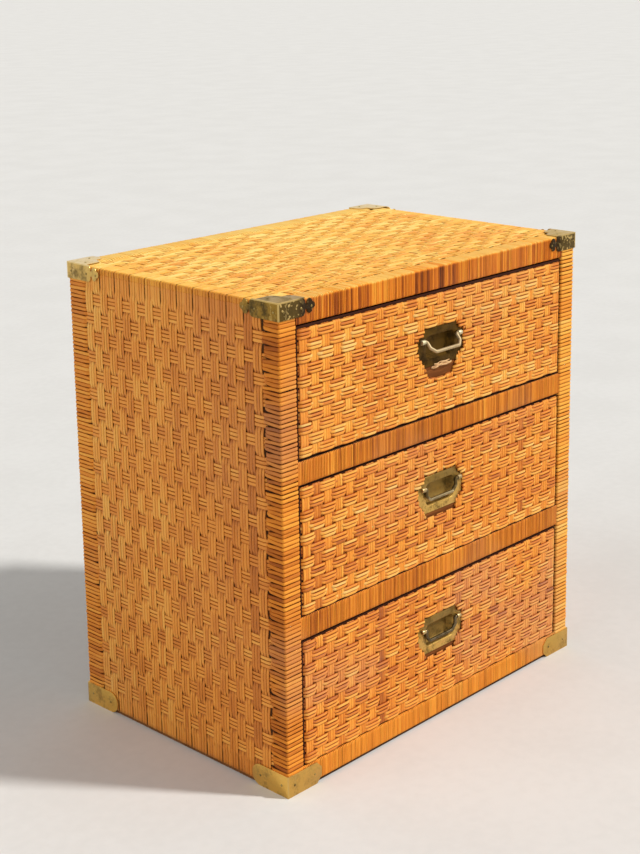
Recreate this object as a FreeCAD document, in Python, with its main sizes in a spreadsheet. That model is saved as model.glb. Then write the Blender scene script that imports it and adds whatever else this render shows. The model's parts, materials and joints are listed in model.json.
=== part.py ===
import FreeCAD, Part
import math
import os
import Sketcher

# A small campaign chest of three inset drawers. A wooden case and the drawer fronts are covered
# in woven and wrapped cane, the corners are shod in brass, and each drawer has a recessed brass
# bail pull. Millimetres, +Z up, the front faces -Y, and the origin is the middle of the base.

DRAWERS = ("lower", "middle", "upper")

# Driving sizes: the alias in the sheet, the value in millimetres or degrees, and what it is.
SIZES = (
    ("case_width", 608, "wrapped case, left to right"),
    ("case_depth", 404, "wrapped case, front to back"),
    ("case_height", 647, "wrapped case, floor to top"),
    ("cane_thickness", 3, "cane skin over the wood"),
    ("edge_round", 2, "rounding where cane turns over an edge"),
    ("post_round", 5, "rounding of a wrapped post's outer corner"),
    ("stile_width", 30, "wrapped post seen from the front or back"),
    ("front_post_depth", 31, "wrapped front post seen from the side"),
    ("rear_post_depth", 34, "wrapped rear post seen from the side"),
    ("rail_height", 32, "wrapped rail seen from the front"),
    ("top_board", 12, "thickness of the top board"),
    ("base_board", 12, "thickness of the base board"),
    ("side_board", 9, "thickness of a side board"),
    ("back_board", 6, "thickness of the back board"),
    ("runner_height", 16, "runner below the drawer"),
    ("runner_ledge", 18, "runner under the drawer, from its outer side"),
    ("guide_height", 20, "guide beside the drawer"),
    ("slide_clearance", 0.3, "drawer to its runner and guide"),
    ("front_gap", 2, "gap round a drawer front"),
    ("front_board", 15, "thickness of a drawer front"),
    ("back_clearance", 35, "drawer to the back board"),
    ("drawer_side", 10, "thickness of a drawer side"),
    ("drawer_side_height", 150, "height of a drawer side"),
    ("drawer_back", 10, "thickness of a drawer back"),
    ("back_drop", 4, "drawer back below the top of the sides"),
    ("drawer_bottom", 4, "thickness of a drawer bottom"),
    ("bottom_rise", 8, "drawer bottom above the lower edge of the sides"),
    ("groove_depth", 5, "groove that holds the drawer bottom"),
    ("groove_clearance", 0.2, "drawer bottom to the end of its groove"),
    ("stop_length", 40, "drawer stop, left to right"),
    ("stop_depth", 8, "drawer stop, front to back"),
    ("stop_height", 6, "drawer stop above the rail"),
    ("stop_spread", 320, "between the middles of a pair of stops"),
    ("plate_width", 92, "pull plate"),
    ("plate_height", 52, "pull plate"),
    ("plate_notch", 12, "hollow corner of the pull plate"),
    ("plate_thickness", 1.6, "pull plate"),
    ("plate_rise", 10, "pull plate above the middle of the drawer front"),
    ("pan_width", 60, "mouth of the recessed pan"),
    ("pan_height", 32, "mouth of the recessed pan"),
    ("pan_depth", 10, "pan floor behind the face of the plate"),
    ("pan_slope", 4, "pan wall drawn in from mouth to floor"),
    ("pan_round", 8, "corner of the pan at its mouth"),
    ("pan_wall", 1.2, "thickness of the pan"),
    ("mortise_clearance", 0.6, "pan to the mortise in the drawer front"),
    ("cutout_margin", 2, "weave to the plate, at the top and the sides"),
    ("upper_cutout_drop", 22, "bare wood below the plate of the upper drawer"),
    ("middle_cutout_drop", 7, "bare wood below the plate of the middle drawer"),
    ("lower_cutout_drop", 6, "bare wood below the plate of the lower drawer"),
    ("bail_width", 62, "between the arms of a bail"),
    ("bail_drop", 17, "bail bar below its pivot"),
    ("bail_corner", 7, "sloping corner of a bail, each way"),
    ("bail_bend", 3, "bend radius of the bail wire"),
    ("bail_wire", 4, "diameter of the bail wire"),
    ("bail_rise", 10, "bail pivot above the middle of the plate"),
    ("bail_clearance", 0.4, "hanging bail to the plate"),
    ("upper_bail_swing", 40, "degrees that the upper bail stands out"),
    ("knuckle_length", 7, "knuckle on the plate"),
    ("knuckle_wall", 1.2, "knuckle round the pin"),
    ("knuckle_gap", 0.5, "knuckle to the bend of the bail"),
    ("pin_clearance", 0.05, "pin to its knuckle"),
    ("brass_sheet", 1.2, "thickness of a corner"),
    ("top_lobe_height", 23, "upper corner on the front and side"),
    ("top_front_lobe", 46, "upper corner along the front, to its neck"),
    ("top_side_lobe", 50, "upper corner along the side, to its neck"),
    ("top_lobe_round", 6, "shoulder of an upper lobe"),
    ("neck_length", 3, "neck between a lobe and its trefoil"),
    ("neck_height", 7, "neck between a lobe and its trefoil"),
    ("trefoil_radius", 4.6, "each leaf of a trefoil"),
    ("top_plate_front", 45, "upper corner on the top, along the front"),
    ("top_plate_side", 40, "upper corner on the top, along the side"),
    ("top_plate_round", 10, "swelling of the top plate's edge"),
    ("top_plate_hollow", 6, "hollow of the top plate's edge"),
    ("foot_height", 30, "lower corner"),
    ("foot_front", 62, "lower corner along the front"),
    ("foot_side", 66, "lower corner along the side"),
    ("foot_clip", 9, "clipped end of a lower corner's front lobe"),
)

LEFT_TURN, RIGHT_TURN = 1, -1
HALF_EIGHTH = math.tan(math.radians(22.5))
DIAGONAL = math.sqrt(0.5)

doc = FreeCAD.newDocument("campaign_chest")
sheet = doc.addObject("Spreadsheet::Sheet", "Sizes")


class Size:
    """A number together with the expression on the sheet that drives it."""

    def __init__(self, text, value):
        self.text = text
        self.value = value

    def join(self, sign, other, value):
        return Size("(%s %s %s)" % (self.text, sign, as_size(other).text), value)

    def __add__(self, other):
        return self.join("+", other, self.value + as_size(other).value)

    def __sub__(self, other):
        return self.join("-", other, self.value - as_size(other).value)

    def __mul__(self, factor):
        return self.join("*", factor, self.value * as_size(factor).value)

    def __truediv__(self, divisor):
        return self.join("/", divisor, self.value / as_size(divisor).value)

    def __neg__(self):
        return Size("(0 - %s)" % self.text, -self.value)


def as_size(number):
    """Give a plain number the form of a size."""
    return number if isinstance(number, Size) else Size(repr(number), number)


def fill_sheet():
    """Write the driving sizes into the sheet and return them by name."""
    sizes = {}
    for row, (alias, value, meaning) in enumerate(SIZES, start=1):
        sheet.set("A%d" % row, alias)
        sheet.set("B%d" % row, str(value))
        sheet.set("C%d" % row, meaning)
        sheet.setAlias("B%d" % row, alias)
        sizes[alias] = Size("Sizes." + alias, value)
    doc.recompute()
    return sizes


def bind(piece, path, size):
    """Drive one property of a piece from the sheet."""
    piece.setExpression(path, as_size(size).text)


def box(label, low, high):
    """Add a block between two opposite corners."""
    piece = doc.addObject("Part::Box", label)
    for axis, side in enumerate(("Length", "Width", "Height")):
        bind(piece, side, as_size(high[axis]) - low[axis])
        bind(piece, "Placement.Base." + "xyz"[axis], low[axis])
    return piece


def mirrored(label, source, across):
    """Add the mirror image of a piece across the plane square to the given axis."""
    piece = doc.addObject("Part::Mirroring", label)
    piece.Source = source
    piece.Normal = FreeCAD.Vector(*(1 if axis == across else 0 for axis in "xyz"))
    return piece


def group(label, pieces):
    """Keep several separate solids in one node."""
    node = doc.addObject("Part::Compound", label)
    node.Links = pieces
    return node


def new_body(label):
    """Add an empty body."""
    return doc.addObject("PartDesign::Body", label)


def new_sketch(body, name, plane, offset):
    """Attach a sketch to one of the body's own origin planes, moved along its normal."""
    sketch = body.newObject("Sketcher::SketchObject", name)
    support = [f for f in body.Origin.OriginFeatures if f.Role == plane][0]
    sketch.AttachmentSupport = [(support, "")]
    sketch.MapMode = "FlatFace"
    bind(sketch, "AttachmentOffset.Base.z", offset)
    return sketch


def arc_between(start, end, radius, turn):
    """The arc of less than a half circle that turns left or right from one point to another."""
    chord = end - start
    reach = math.sqrt(max(radius ** 2 - chord.Length ** 2 / 4, 0)) / chord.Length
    centre = (start + end) / 2 + FreeCAD.Vector(-chord.y, chord.x, 0) * (reach * turn)
    first, last = (start, end) if turn == LEFT_TURN else (end, start)
    angles = [math.atan2(p.y - centre.y, p.x - centre.x) for p in (first, last)]
    return Part.ArcOfCircle(Part.Circle(centre, FreeCAD.Vector(0, 0, 1), radius), *angles)


def draw(sketch, steps, closed=True):
    """Draw an outline through a list of points and pin it to the sheet.

    A step is (x, y) for a straight run to that point, or (x, y, radius, turn) for an arc to it.
    """
    ends = [FreeCAD.Vector(as_size(s[0]).value, as_size(s[1]).value, 0) for s in steps]
    runs = range(0 if closed else 1, len(steps))
    tips = {}
    for run in runs:
        start, end, arc = ends[run - 1], ends[run], steps[run][2:]
        if arc:
            edge = sketch.addGeometry(arc_between(start, end, arc[0].value, arc[1]), False)
            pin(sketch, Sketcher.Constraint("Radius", edge, arc[0].value), arc[0])
        else:
            edge = sketch.addGeometry(Part.LineSegment(start, end), False)
        forwards = not arc or arc[1] == LEFT_TURN
        tips[run] = (edge, 1, 2) if forwards else (edge, 2, 1)
    for run in runs:
        edge, first, last = tips[run]
        pin_point(sketch, edge, last, ends[run], steps[run])
        before = tips.get(run - 1 if run else len(steps) - 1)
        if before:
            sketch.addConstraint(Sketcher.Constraint("Coincident", before[0], before[2], edge, first))
        else:
            pin_point(sketch, edge, first, ends[run - 1], steps[run - 1])
    return sketch


def pin(sketch, constraint, size):
    """Add a dimension to a sketch and drive it from the sheet."""
    index = sketch.addConstraint(constraint)
    bind(sketch, "Constraints[%d]" % index, size)


def pin_point(sketch, edge, tip, place, step):
    """Hold one end of an edge at its distances from the sketch's origin."""
    for kind, value, size in (("DistanceX", place.x, step[0]), ("DistanceY", place.y, step[1])):
        pin(sketch, Sketcher.Constraint(kind, -1, 1, edge, tip, value), as_size(size))


def draw_circle(sketch, x, y, radius):
    """Draw a circle at a point of the sketch."""
    centre = FreeCAD.Vector(as_size(x).value, as_size(y).value, 0)
    edge = sketch.addGeometry(Part.Circle(centre, FreeCAD.Vector(0, 0, 1), radius.value), False)
    pin_point(sketch, edge, 3, centre, (x, y))
    pin(sketch, Sketcher.Constraint("Radius", edge, radius.value), radius)
    return sketch


def extrude(body, kind, name, sketch, length, reverse=False):
    """Add a pad or a pocket of a sketch to a body."""
    feature = body.newObject("PartDesign::" + kind, name)
    feature.Profile = sketch
    feature.Reversed = reverse
    bind(feature, "Length", length)
    return feature


def round_edges(body, base, name, radius, picks):
    """Round those edges of a feature that the test picks."""
    doc.recompute()
    edges = ["Edge%d" % n for n, edge in enumerate(base.Shape.Edges, start=1) if picks(edge)]
    fillet = body.newObject("PartDesign::Fillet", name)
    fillet.Base = (base, edges)
    bind(fillet, "Radius", radius)
    return fillet


def rectangle(x0, y0, x1, y1):
    """The corners of a rectangle, in order."""
    return [(x0, y0), (x1, y0), (x1, y1), (x0, y1)]


def round_rectangle(width, height, radius):
    """A rectangle about the sketch's origin with rounded corners."""
    x, y = width / 2, height / 2
    return [
        (x - radius, -y), (x, -y + radius, radius, LEFT_TURN),
        (x, y - radius), (x - radius, y, radius, LEFT_TURN),
        (-x + radius, y), (-x, y - radius, radius, LEFT_TURN),
        (-x, -y + radius), (-x + radius, -y, radius, LEFT_TURN),
    ]


def notched_rectangle(half, low, high, notch):
    """A rectangle about the sketch's middle line with hollow quarter-round corners."""
    return [
        (half - notch, low), (half, low + notch, notch, RIGHT_TURN),
        (half, high - notch), (half - notch, high, notch, RIGHT_TURN),
        (notch - half, high), (-half, high - notch, notch, RIGHT_TURN),
        (-half, low + notch), (notch - half, low, notch, RIGHT_TURN),
    ]


S = fill_sheet()

# Planes that several pieces share. The wood lies one cane thickness inside the wrapped case.
outer_x = S["case_width"] / 2
outer_y = S["case_depth"] / 2
wood_x = outer_x - S["cane_thickness"]
wood_y = outer_y - S["cane_thickness"]
inner_x = outer_x - S["stile_width"]
front_back = S["front_post_depth"] - outer_y
rear_front = outer_y - S["rear_post_depth"]
wood_top = S["case_height"] - S["cane_thickness"]
post_top = wood_top - S["top_board"]
board_x = wood_x - S["side_board"]
back_front = outer_y - S["back_board"]
opening_height = (S["case_height"] - S["rail_height"] * 4) / 3
zero = as_size(0)


def opening_low(level):
    """Height of the floor of a drawer opening, counted from the lowest."""
    return S["rail_height"] + (S["rail_height"] + opening_height) * level


def post_wrap(label, face_y, depth):
    """Cane wound round a left post: three sides of it, and two beside the top board."""
    cane, bend = S["cane_thickness"], S["post_round"]
    sign = 1 if face_y.value < 0 else -1
    turn = RIGHT_TURN if face_y.value < 0 else LEFT_TURN
    wood, back = face_y + cane * sign, face_y + depth * sign
    outside = [
        (-inner_x, face_y),
        (bend - outer_x, face_y),
        (-outer_x, face_y + bend * sign, bend, turn),
        (-outer_x, back),
        (-wood_x, back),
        (-wood_x, wood),
    ]
    body = new_body(label)
    around = new_sketch(body, label + "_round_post", "XY_Plane", 0)
    inside = [(-inner_x - cane, wood), (-inner_x - cane, back), (-inner_x, back)]
    extrude(body, "Pad", label + "_long", draw(around, outside + inside), post_top)
    above = new_sketch(body, label + "_round_top", "XY_Plane", post_top)
    extrude(body, "Pad", label + "_short", draw(above, outside + [(-inner_x, wood)]), S["top_board"])
    return body


def build_posts():
    """Four square posts, each with its wrap."""
    inside = inner_x + S["cane_thickness"]
    cores = {
        "front": ((-wood_x, -wood_y, zero), (-inside, front_back, post_top)),
        "rear": ((-wood_x, rear_front, zero), (-inside, wood_y, post_top)),
    }
    faces = {"front": (-outer_y, S["front_post_depth"]), "rear": (outer_y, S["rear_post_depth"])}
    nodes = []
    for place, corners in cores.items():
        post = box(place + "_left_post", *corners)
        wrap = post_wrap(place + "_left_post_wrap", *faces[place])
        nodes += [post, mirrored(place + "_right_post", post, "x")]
        nodes += [wrap, mirrored(place + "_right_post_wrap", wrap, "x")]
    return nodes


def build_boards():
    """Side, top, base and back boards, with the woven skins of the sides and the top."""
    side = box("left_side_panel", (-wood_x, front_back, zero), (-board_x, rear_front, post_top))
    weave = box("left_side_weave", (-outer_x, front_back, zero), (-wood_x, rear_front, wood_top))
    top = box("top_panel", (-wood_x, -wood_y, post_top), (wood_x, wood_y, wood_top))
    back = box("back_panel", (-inner_x, back_front, zero), (inner_x, outer_y, post_top))
    nodes = [side, mirrored("right_side_panel", side, "x")]
    nodes += [weave, mirrored("right_side_weave", weave, "x")]
    return nodes + [top, base_board(), back, top_weave()]


def base_board():
    """The board that closes the case below, notched round the rear posts."""
    body = new_body("bottom_panel")
    outline = new_sketch(body, "bottom_panel_outline", "XY_Plane", 0)
    draw(outline, [
        (-board_x, front_back), (board_x, front_back), (board_x, rear_front), (inner_x, rear_front),
        (inner_x, back_front), (-inner_x, back_front), (-inner_x, rear_front), (-board_x, rear_front),
    ])
    extrude(body, "Pad", "bottom_panel_thickness", outline, S["base_board"])
    return body


def top_weave():
    """The woven top, rounded over its edges and turned down over the rear edge of the board."""
    body = new_body("top_weave")
    flat = new_sketch(body, "top_weave_outline", "XY_Plane", wood_top)
    draw(flat, rectangle(-outer_x, -outer_y, outer_x, outer_y))
    pad = extrude(body, "Pad", "top_weave_sheet", flat, S["cane_thickness"])
    highest = S["case_height"].value
    rounded = round_edges(
        body, pad, "top_weave_edges", S["edge_round"],
        lambda edge: abs(edge.BoundBox.ZMin - highest) < 1e-6,
    )
    skirt = new_sketch(body, "top_weave_skirt_outline", "XY_Plane", post_top)
    draw(skirt, rectangle(-inner_x, wood_y, inner_x, outer_y))
    body.Tip = rounded
    extrude(body, "Pad", "top_weave_skirt", skirt, S["top_board"])
    return body


def build_rails():
    """Four front rails between the posts, each behind its own wrap."""
    nodes = []
    heights = {
        "bottom_rail": (zero, S["rail_height"], S["rail_height"]),
        "lower_divider_rail": (opening_low(1) - S["rail_height"], opening_low(1), opening_low(1)),
        "upper_divider_rail": (opening_low(2) - S["rail_height"], opening_low(2), opening_low(2)),
        "top_rail": (S["case_height"] - S["rail_height"], post_top, wood_top),
    }
    for label, (low, wood_high, cane_high) in heights.items():
        nodes.append(box(label, (-inner_x, -wood_y, low), (inner_x, front_back, wood_high)))
        nodes.append(box(label + "_wrap", (-inner_x, -outer_y, low), (inner_x, -wood_y, cane_high)))
    return nodes


def runner_pair(name, level):
    """A left and a right runner, each with the guide beside the drawer in one section."""
    floor = opening_low(level)
    drawer_x = inner_x - S["front_gap"]
    guide_x = drawer_x + S["slide_clearance"]
    ledge_x = drawer_x - S["runner_ledge"]
    low, high = floor - S["runner_height"], floor + S["guide_height"]
    left = new_body(name + "_left_runner")
    section = new_sketch(left, name + "_runner_section", "XZ_Plane", -rear_front)
    draw(section, [
        (-board_x, low), (-ledge_x, low), (-ledge_x, floor),
        (-guide_x, floor), (-guide_x, high), (-board_x, high),
    ])
    extrude(left, "Pad", name + "_runner_length", section, rear_front - front_back)
    return group(name + "_runners", [left, mirrored(name + "_right_runner", left, "x")])


def build_stops():
    """Small blocks on the rails that the drawer fronts close against."""
    behind = S["front_board"] + S["slide_clearance"] - wood_y
    blocks = []
    for level, name in enumerate(DRAWERS):
        floor = opening_low(level)
        near = (S["stop_spread"] - S["stop_length"]) / 2
        far = (S["stop_spread"] + S["stop_length"]) / 2
        low = (-far, behind, floor)
        high = (-near, behind + S["stop_depth"], floor + S["stop_height"])
        block = box(name + "_left_stop", low, high)
        blocks += [block, mirrored(name + "_right_stop", block, "x")]
    return group("drawer_stops", blocks)


def upper_lobe(corner, length):
    """Outline of an upper corner on one face: a shouldered plate with a trefoil at its end.

    Args: corner is the outer corner of the case in the sketch and length the plate's to its neck.
    """
    x, high = corner
    leaf, bend, neck = S["trefoil_radius"], S["top_lobe_round"], S["neck_height"] / 2
    middle, half = high - S["top_lobe_height"] / 2, S["top_lobe_height"] / 2
    end = x + length
    foil = end + S["neck_length"]
    return [
        (x, middle - half),
        (end - bend, middle - half),
        (end, middle - half + bend, bend, LEFT_TURN),
        (end, middle - neck),
        (foil, middle - neck),
        (foil, middle - leaf),
        (foil + leaf, middle - leaf * 2, leaf, LEFT_TURN),
        (foil + leaf * 2, middle - leaf, leaf, LEFT_TURN),
        (foil + leaf * 3, middle, leaf, LEFT_TURN),
        (foil + leaf * 2, middle + leaf, leaf, LEFT_TURN),
        (foil + leaf, middle + leaf * 2, leaf, LEFT_TURN),
        (foil, middle + leaf, leaf, LEFT_TURN),
        (foil, middle + neck),
        (end, middle + neck),
        (end, middle + half - bend),
        (end - bend, middle + half, bend, LEFT_TURN),
        (x, middle + half),
    ]


def top_plate(x, y):
    """Outline of an upper corner on the top: its inner edge swells, hollows and swells again."""
    swell, hollow = S["top_plate_round"], S["top_plate_hollow"]
    far_x, far_y = x + S["top_plate_front"], y + S["top_plate_side"]
    step = swell + hollow
    return [
        (x, y),
        (far_x, y),
        (far_x, far_y - step - swell),
        (far_x - swell, far_y - step, swell, LEFT_TURN),
        (far_x - step, far_y - swell, hollow, RIGHT_TURN),
        (far_x - step - swell, far_y, swell, LEFT_TURN),
        (x, far_y),
    ]


def upper_corner():
    """The front left upper corner: sheet brass over the front, the side and the top."""
    sheet_brass = S["brass_sheet"]
    x, y, z = -outer_x - sheet_brass, -outer_y - sheet_brass, S["case_height"] + sheet_brass
    body = new_body("front_left_upper_corner")
    front = new_sketch(body, "upper_corner_front", "XZ_Plane", outer_y)
    draw(front, upper_lobe((x, z), S["top_front_lobe"]))
    extrude(body, "Pad", "upper_front_lobe", front, sheet_brass)
    side = new_sketch(body, "upper_corner_side", "YZ_Plane", x)
    draw(side, upper_lobe((y, z), S["top_side_lobe"]))
    extrude(body, "Pad", "upper_side_lobe", side, sheet_brass)
    top = new_sketch(body, "upper_corner_top", "XY_Plane", S["case_height"])
    extrude(body, "Pad", "upper_top_plate", draw(top, top_plate(x, y)), sheet_brass)
    return body


def lower_corner():
    """The front left lower corner: a clipped lobe on the front and a round one on the side."""
    sheet_brass, high, clip = S["brass_sheet"], S["foot_height"], S["foot_clip"]
    bend = high / 2
    x, y = -outer_x - sheet_brass, -outer_y - sheet_brass
    end_x, end_y = x + S["foot_front"], y + S["foot_side"]
    body = new_body("front_left_lower_corner")
    front = new_sketch(body, "lower_corner_front", "XZ_Plane", outer_y)
    draw(front, [
        (x, zero), (end_x - clip, zero), (end_x, clip),
        (end_x, high - clip), (end_x - clip, high), (x, high),
    ])
    extrude(body, "Pad", "lower_front_lobe", front, sheet_brass)
    side = new_sketch(body, "lower_corner_side", "YZ_Plane", x)
    draw(side, [
        (y, zero), (end_y - bend, zero), (end_y, bend, bend, LEFT_TURN),
        (end_y - bend, high, bend, LEFT_TURN), (y, high),
    ])
    extrude(body, "Pad", "lower_side_lobe", side, sheet_brass)
    return body


def build_corners():
    """Eight brass corners: one upper and one lower one, mirrored round the case."""
    nodes = []
    for level, first in (("upper", upper_corner()), ("lower", lower_corner())):
        rear = mirrored("rear_left_%s_corner" % level, first, "y")
        nodes += [first, rear]
        nodes.append(mirrored("front_right_%s_corner" % level, first, "x"))
        nodes.append(mirrored("rear_right_%s_corner" % level, rear, "x"))
    return nodes


class Drawer:
    """One drawer: its box, its woven front, and its recessed pull with a swinging bail."""

    def __init__(self, name, level):
        self.name = name
        self.low = opening_low(level)
        self.side_low = self.low + S["slide_clearance"]
        self.side_high = self.side_low + S["drawer_side_height"]
        self.bottom_low = self.side_low + S["bottom_rise"]
        self.bottom_high = self.bottom_low + S["drawer_bottom"]
        self.half = inner_x - S["front_gap"]
        self.inside = self.half - S["drawer_side"]
        self.front_low = self.low + S["front_gap"]
        self.front_high = self.low + opening_height - S["front_gap"]
        self.behind = S["front_board"] - wood_y
        self.end = back_front - S["back_clearance"]
        self.length = self.end - self.behind
        self.pull_z = self.low + opening_height / 2 + S["plate_rise"]
        self.plate_face = -wood_y - S["plate_thickness"]

    def label(self, piece):
        return "%s_drawer_%s" % (self.name, piece)

    def build(self):
        """Return every piece of the drawer."""
        side = self.side()
        return [
            self.front_board(),
            self.front_weave(),
            side,
            mirrored(self.label("right_side"), side, "x"),
            self.back(),
            self.bottom(),
            self.pull_plate(),
            self.bail(),
        ]

    def side(self):
        """The left side, its section grooved for the bottom."""
        groove = self.inside + S["groove_depth"]
        body = new_body(self.label("left_side"))
        section = new_sketch(body, self.label("side_section"), "XZ_Plane", -self.end)
        draw(section, [
            (-self.half, self.side_low), (-self.inside, self.side_low),
            (-self.inside, self.bottom_low), (-groove, self.bottom_low),
            (-groove, self.bottom_high), (-self.inside, self.bottom_high),
            (-self.inside, self.side_high), (-self.half, self.side_high),
        ])
        extrude(body, "Pad", self.label("side_length"), section, self.length)
        return body

    def back(self):
        """The back, between the sides and on top of the bottom."""
        high = self.side_high - S["back_drop"]
        low = (-self.inside, self.end - S["drawer_back"], self.bottom_high)
        return box(self.label("back"), low, (self.inside, self.end, high))

    def bottom(self):
        """The bottom, slid into the grooves of the sides and the front."""
        reach = S["groove_depth"] - S["groove_clearance"]
        low = (-self.inside - reach, self.behind - reach, self.bottom_low)
        return box(self.label("bottom"), low, (self.inside + reach, self.end, self.bottom_high))

    def front_board(self):
        """The wooden front, with a blind mortise for the pan and a groove for the bottom."""
        gap = S["mortise_clearance"]
        body = new_body(self.label("front_board"))
        outline = new_sketch(body, self.label("front_outline"), "XZ_Plane", -self.behind)
        draw(outline, rectangle(-self.half, self.front_low, self.half, self.front_high))
        extrude(body, "Pad", self.label("front_thickness"), outline, S["front_board"])
        x = S["pan_width"] / 2 + S["pan_wall"] + gap
        z = S["pan_height"] / 2 + S["pan_wall"] + gap
        mouth = new_sketch(body, self.label("mortise_outline"), "XZ_Plane", wood_y)
        draw(mouth, rectangle(-x, self.pull_z - z, x, self.pull_z + z))
        depth = S["pan_depth"] + S["pan_wall"] - S["plate_thickness"] + gap
        extrude(body, "Pocket", self.label("mortise"), mouth, depth)
        slot = new_sketch(body, self.label("front_groove_outline"), "XZ_Plane", -self.behind)
        groove = self.inside + S["groove_depth"]
        draw(slot, rectangle(-groove, self.bottom_low, groove, self.bottom_high))
        extrude(body, "Pocket", self.label("front_groove"), slot, S["groove_depth"], reverse=True)
        return body

    def front_weave(self):
        """The woven face, rounded at its edges and cut away round the pull."""
        margin = S["cutout_margin"]
        half = S["plate_width"] / 2 + margin
        high = self.pull_z + S["plate_height"] / 2 + margin
        low = self.pull_z - S["plate_height"] / 2 - S[self.name + "_cutout_drop"]
        body = new_body(self.label("front_weave"))
        outline = new_sketch(body, self.label("weave_outline"), "XZ_Plane", wood_y)
        draw(outline, rectangle(-self.half, self.front_low, self.half, self.front_high))
        pad = extrude(body, "Pad", self.label("weave_sheet"), outline, S["cane_thickness"])
        face = -outer_y.value
        rounded = round_edges(
            body, pad, self.label("weave_edges"), S["edge_round"],
            lambda edge: abs(edge.BoundBox.YMax - face) < 1e-6,
        )
        body.Tip = rounded
        cutout = new_sketch(body, self.label("weave_cutout_outline"), "XZ_Plane", outer_y)
        draw(cutout, notched_rectangle(half, low, high, S["plate_notch"]))
        extrude(body, "Pocket", self.label("weave_cutout"), cutout, S["cane_thickness"])
        return body

    def pan_section(self, body, name, depth, grow):
        """A rounded rectangle of the pan at a depth behind the plate's face."""
        drawn_in = S["pan_slope"] * 2 * (depth / S["pan_depth"])
        sketch = new_sketch(body, self.label(name), "XZ_Plane", -depth)
        width, height = S["pan_width"] - drawn_in + grow * 2, S["pan_height"] - drawn_in + grow * 2
        return draw(sketch, round_rectangle(width, height, S["pan_round"] - drawn_in / 2 + grow))

    def pull_plate(self):
        """The plate with hollow corners, its drawn pan and the two knuckles of the bail.

        The body is drawn about the middle of the plate's face and then put in its place.
        """
        thick, wall = S["plate_thickness"], S["pan_wall"]
        body = new_body(self.label("pull_plate"))
        outline = new_sketch(body, self.label("plate_outline"), "XZ_Plane", -thick)
        half, high = S["plate_width"] / 2, S["plate_height"] / 2
        draw(outline, notched_rectangle(half, -high, high, S["plate_notch"]))
        extrude(body, "Pad", self.label("plate_sheet"), outline, thick)
        self.loft(body, "AdditiveLoft", "pan_outside", zero + thick / 2, S["pan_depth"] + wall, wall)
        self.loft(body, "SubtractiveLoft", "pan_inside", zero, S["pan_depth"], zero)
        reach = S["bail_width"] / 2 + S["bail_bend"] + S["knuckle_gap"]
        bore = S["bail_wire"] / 2 + S["pin_clearance"]
        pivot_y = -S["bail_clearance"] - S["bail_wire"] / 2
        for hand, start in (("left", -reach - S["knuckle_length"]), ("right", reach)):
            ring = new_sketch(body, self.label(hand + "_knuckle_ring"), "YZ_Plane", start)
            draw_circle(ring, pivot_y, S["bail_rise"], bore + S["knuckle_wall"])
            draw_circle(ring, pivot_y, S["bail_rise"], bore)
            extrude(body, "Pad", self.label(hand + "_knuckle"), ring, S["knuckle_length"])
        bind(body, "Placement.Base.y", self.plate_face)
        bind(body, "Placement.Base.z", self.pull_z)
        return body

    def loft(self, body, kind, name, near, far, grow):
        """Add or take away the tapered form of the pan between two depths."""
        first = self.pan_section(body, name + "_mouth", near, grow)
        last = self.pan_section(body, name + "_floor", far, grow)
        feature = body.newObject("PartDesign::" + kind, self.label(name))
        feature.Profile = first
        feature.Sections = [last]

    def bail(self):
        """The bail: one bent wire, its ends turned out as pins into the knuckles."""
        arm, drop, slope = S["bail_width"] / 2, S["bail_drop"], S["bail_corner"]
        bend = S["bail_bend"]
        pin_end = arm + bend + S["knuckle_gap"] + S["knuckle_length"]
        run = bend * HALF_EIGHTH
        lean = run * DIAGONAL
        left = [
            (-pin_end, zero),
            (-arm - bend, zero),
            (-arm, -bend, bend, RIGHT_TURN),
            (-arm, slope - drop + run),
            (lean - arm, slope - drop - lean, bend, LEFT_TURN),
            (slope - arm - lean, lean - drop),
            (slope - arm + run, -drop, bend, LEFT_TURN),
        ]
        right = [
            (arm - slope - run, -drop),
            (arm - slope + lean, lean - drop, bend, LEFT_TURN),
            (arm - lean, slope - drop - lean),
            (arm, slope - drop + run, bend, LEFT_TURN),
            (arm, -bend),
            (arm + bend, zero, bend, RIGHT_TURN),
            (pin_end, zero),
        ]
        body = new_body(self.name + "_bail")
        path = new_sketch(body, self.name + "_bail_path", "XZ_Plane", 0)
        draw(path, left + right, closed=False)
        wire = new_sketch(body, self.name + "_bail_wire", "YZ_Plane", -pin_end)
        draw_circle(wire, zero, zero, S["bail_wire"] / 2)
        pipe = body.newObject("PartDesign::AdditivePipe", self.name + "_bail_sweep")
        pipe.Profile = wire
        pipe.Spine = (path, ["Edge%d" % n for n in range(1, len(left + right))])
        if self.name == "upper":
            swing = S["upper_bail_swing"]
            body.Placement.Rotation = FreeCAD.Rotation(FreeCAD.Vector(-1, 0, 0), swing.value)
            bind(body, "Placement.Rotation.Angle", swing)
        bind(body, "Placement.Base.y", self.plate_face - S["bail_clearance"] - S["bail_wire"] / 2)
        bind(body, "Placement.Base.z", self.pull_z + S["bail_rise"])
        return body


def build_chest():
    """Build the case and the drawers and return every piece that is its own node."""
    nodes = build_posts() + build_boards() + build_rails() + [build_stops()] + build_corners()
    for level, name in enumerate(DRAWERS):
        nodes.append(runner_pair(name, level))
        nodes += Drawer(name, level).build()
    return nodes


def check_and_write(nodes):
    """Stop at any failed feature or unsound solid, and otherwise write one file for each node."""
    failed = [o.Name for o in doc.Objects if {"Invalid", "Error"} & set(o.State)]
    if failed:
        raise RuntimeError("failed features: " + ", ".join(failed))
    for node in nodes:
        if node.Shape.isNull() or not node.Shape.isValid() or not node.Shape.Solids:
            raise RuntimeError("no sound solid in " + node.Label)
    os.makedirs("parts", exist_ok=True)
    for node in nodes:
        node.Shape.exportStep("parts/%s.step" % node.Label)
    print("%d nodes, %d solids" % (len(nodes), sum(len(n.Shape.Solids) for n in nodes)))


chest = build_chest()
doc.recompute()
check_and_write(chest)
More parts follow.
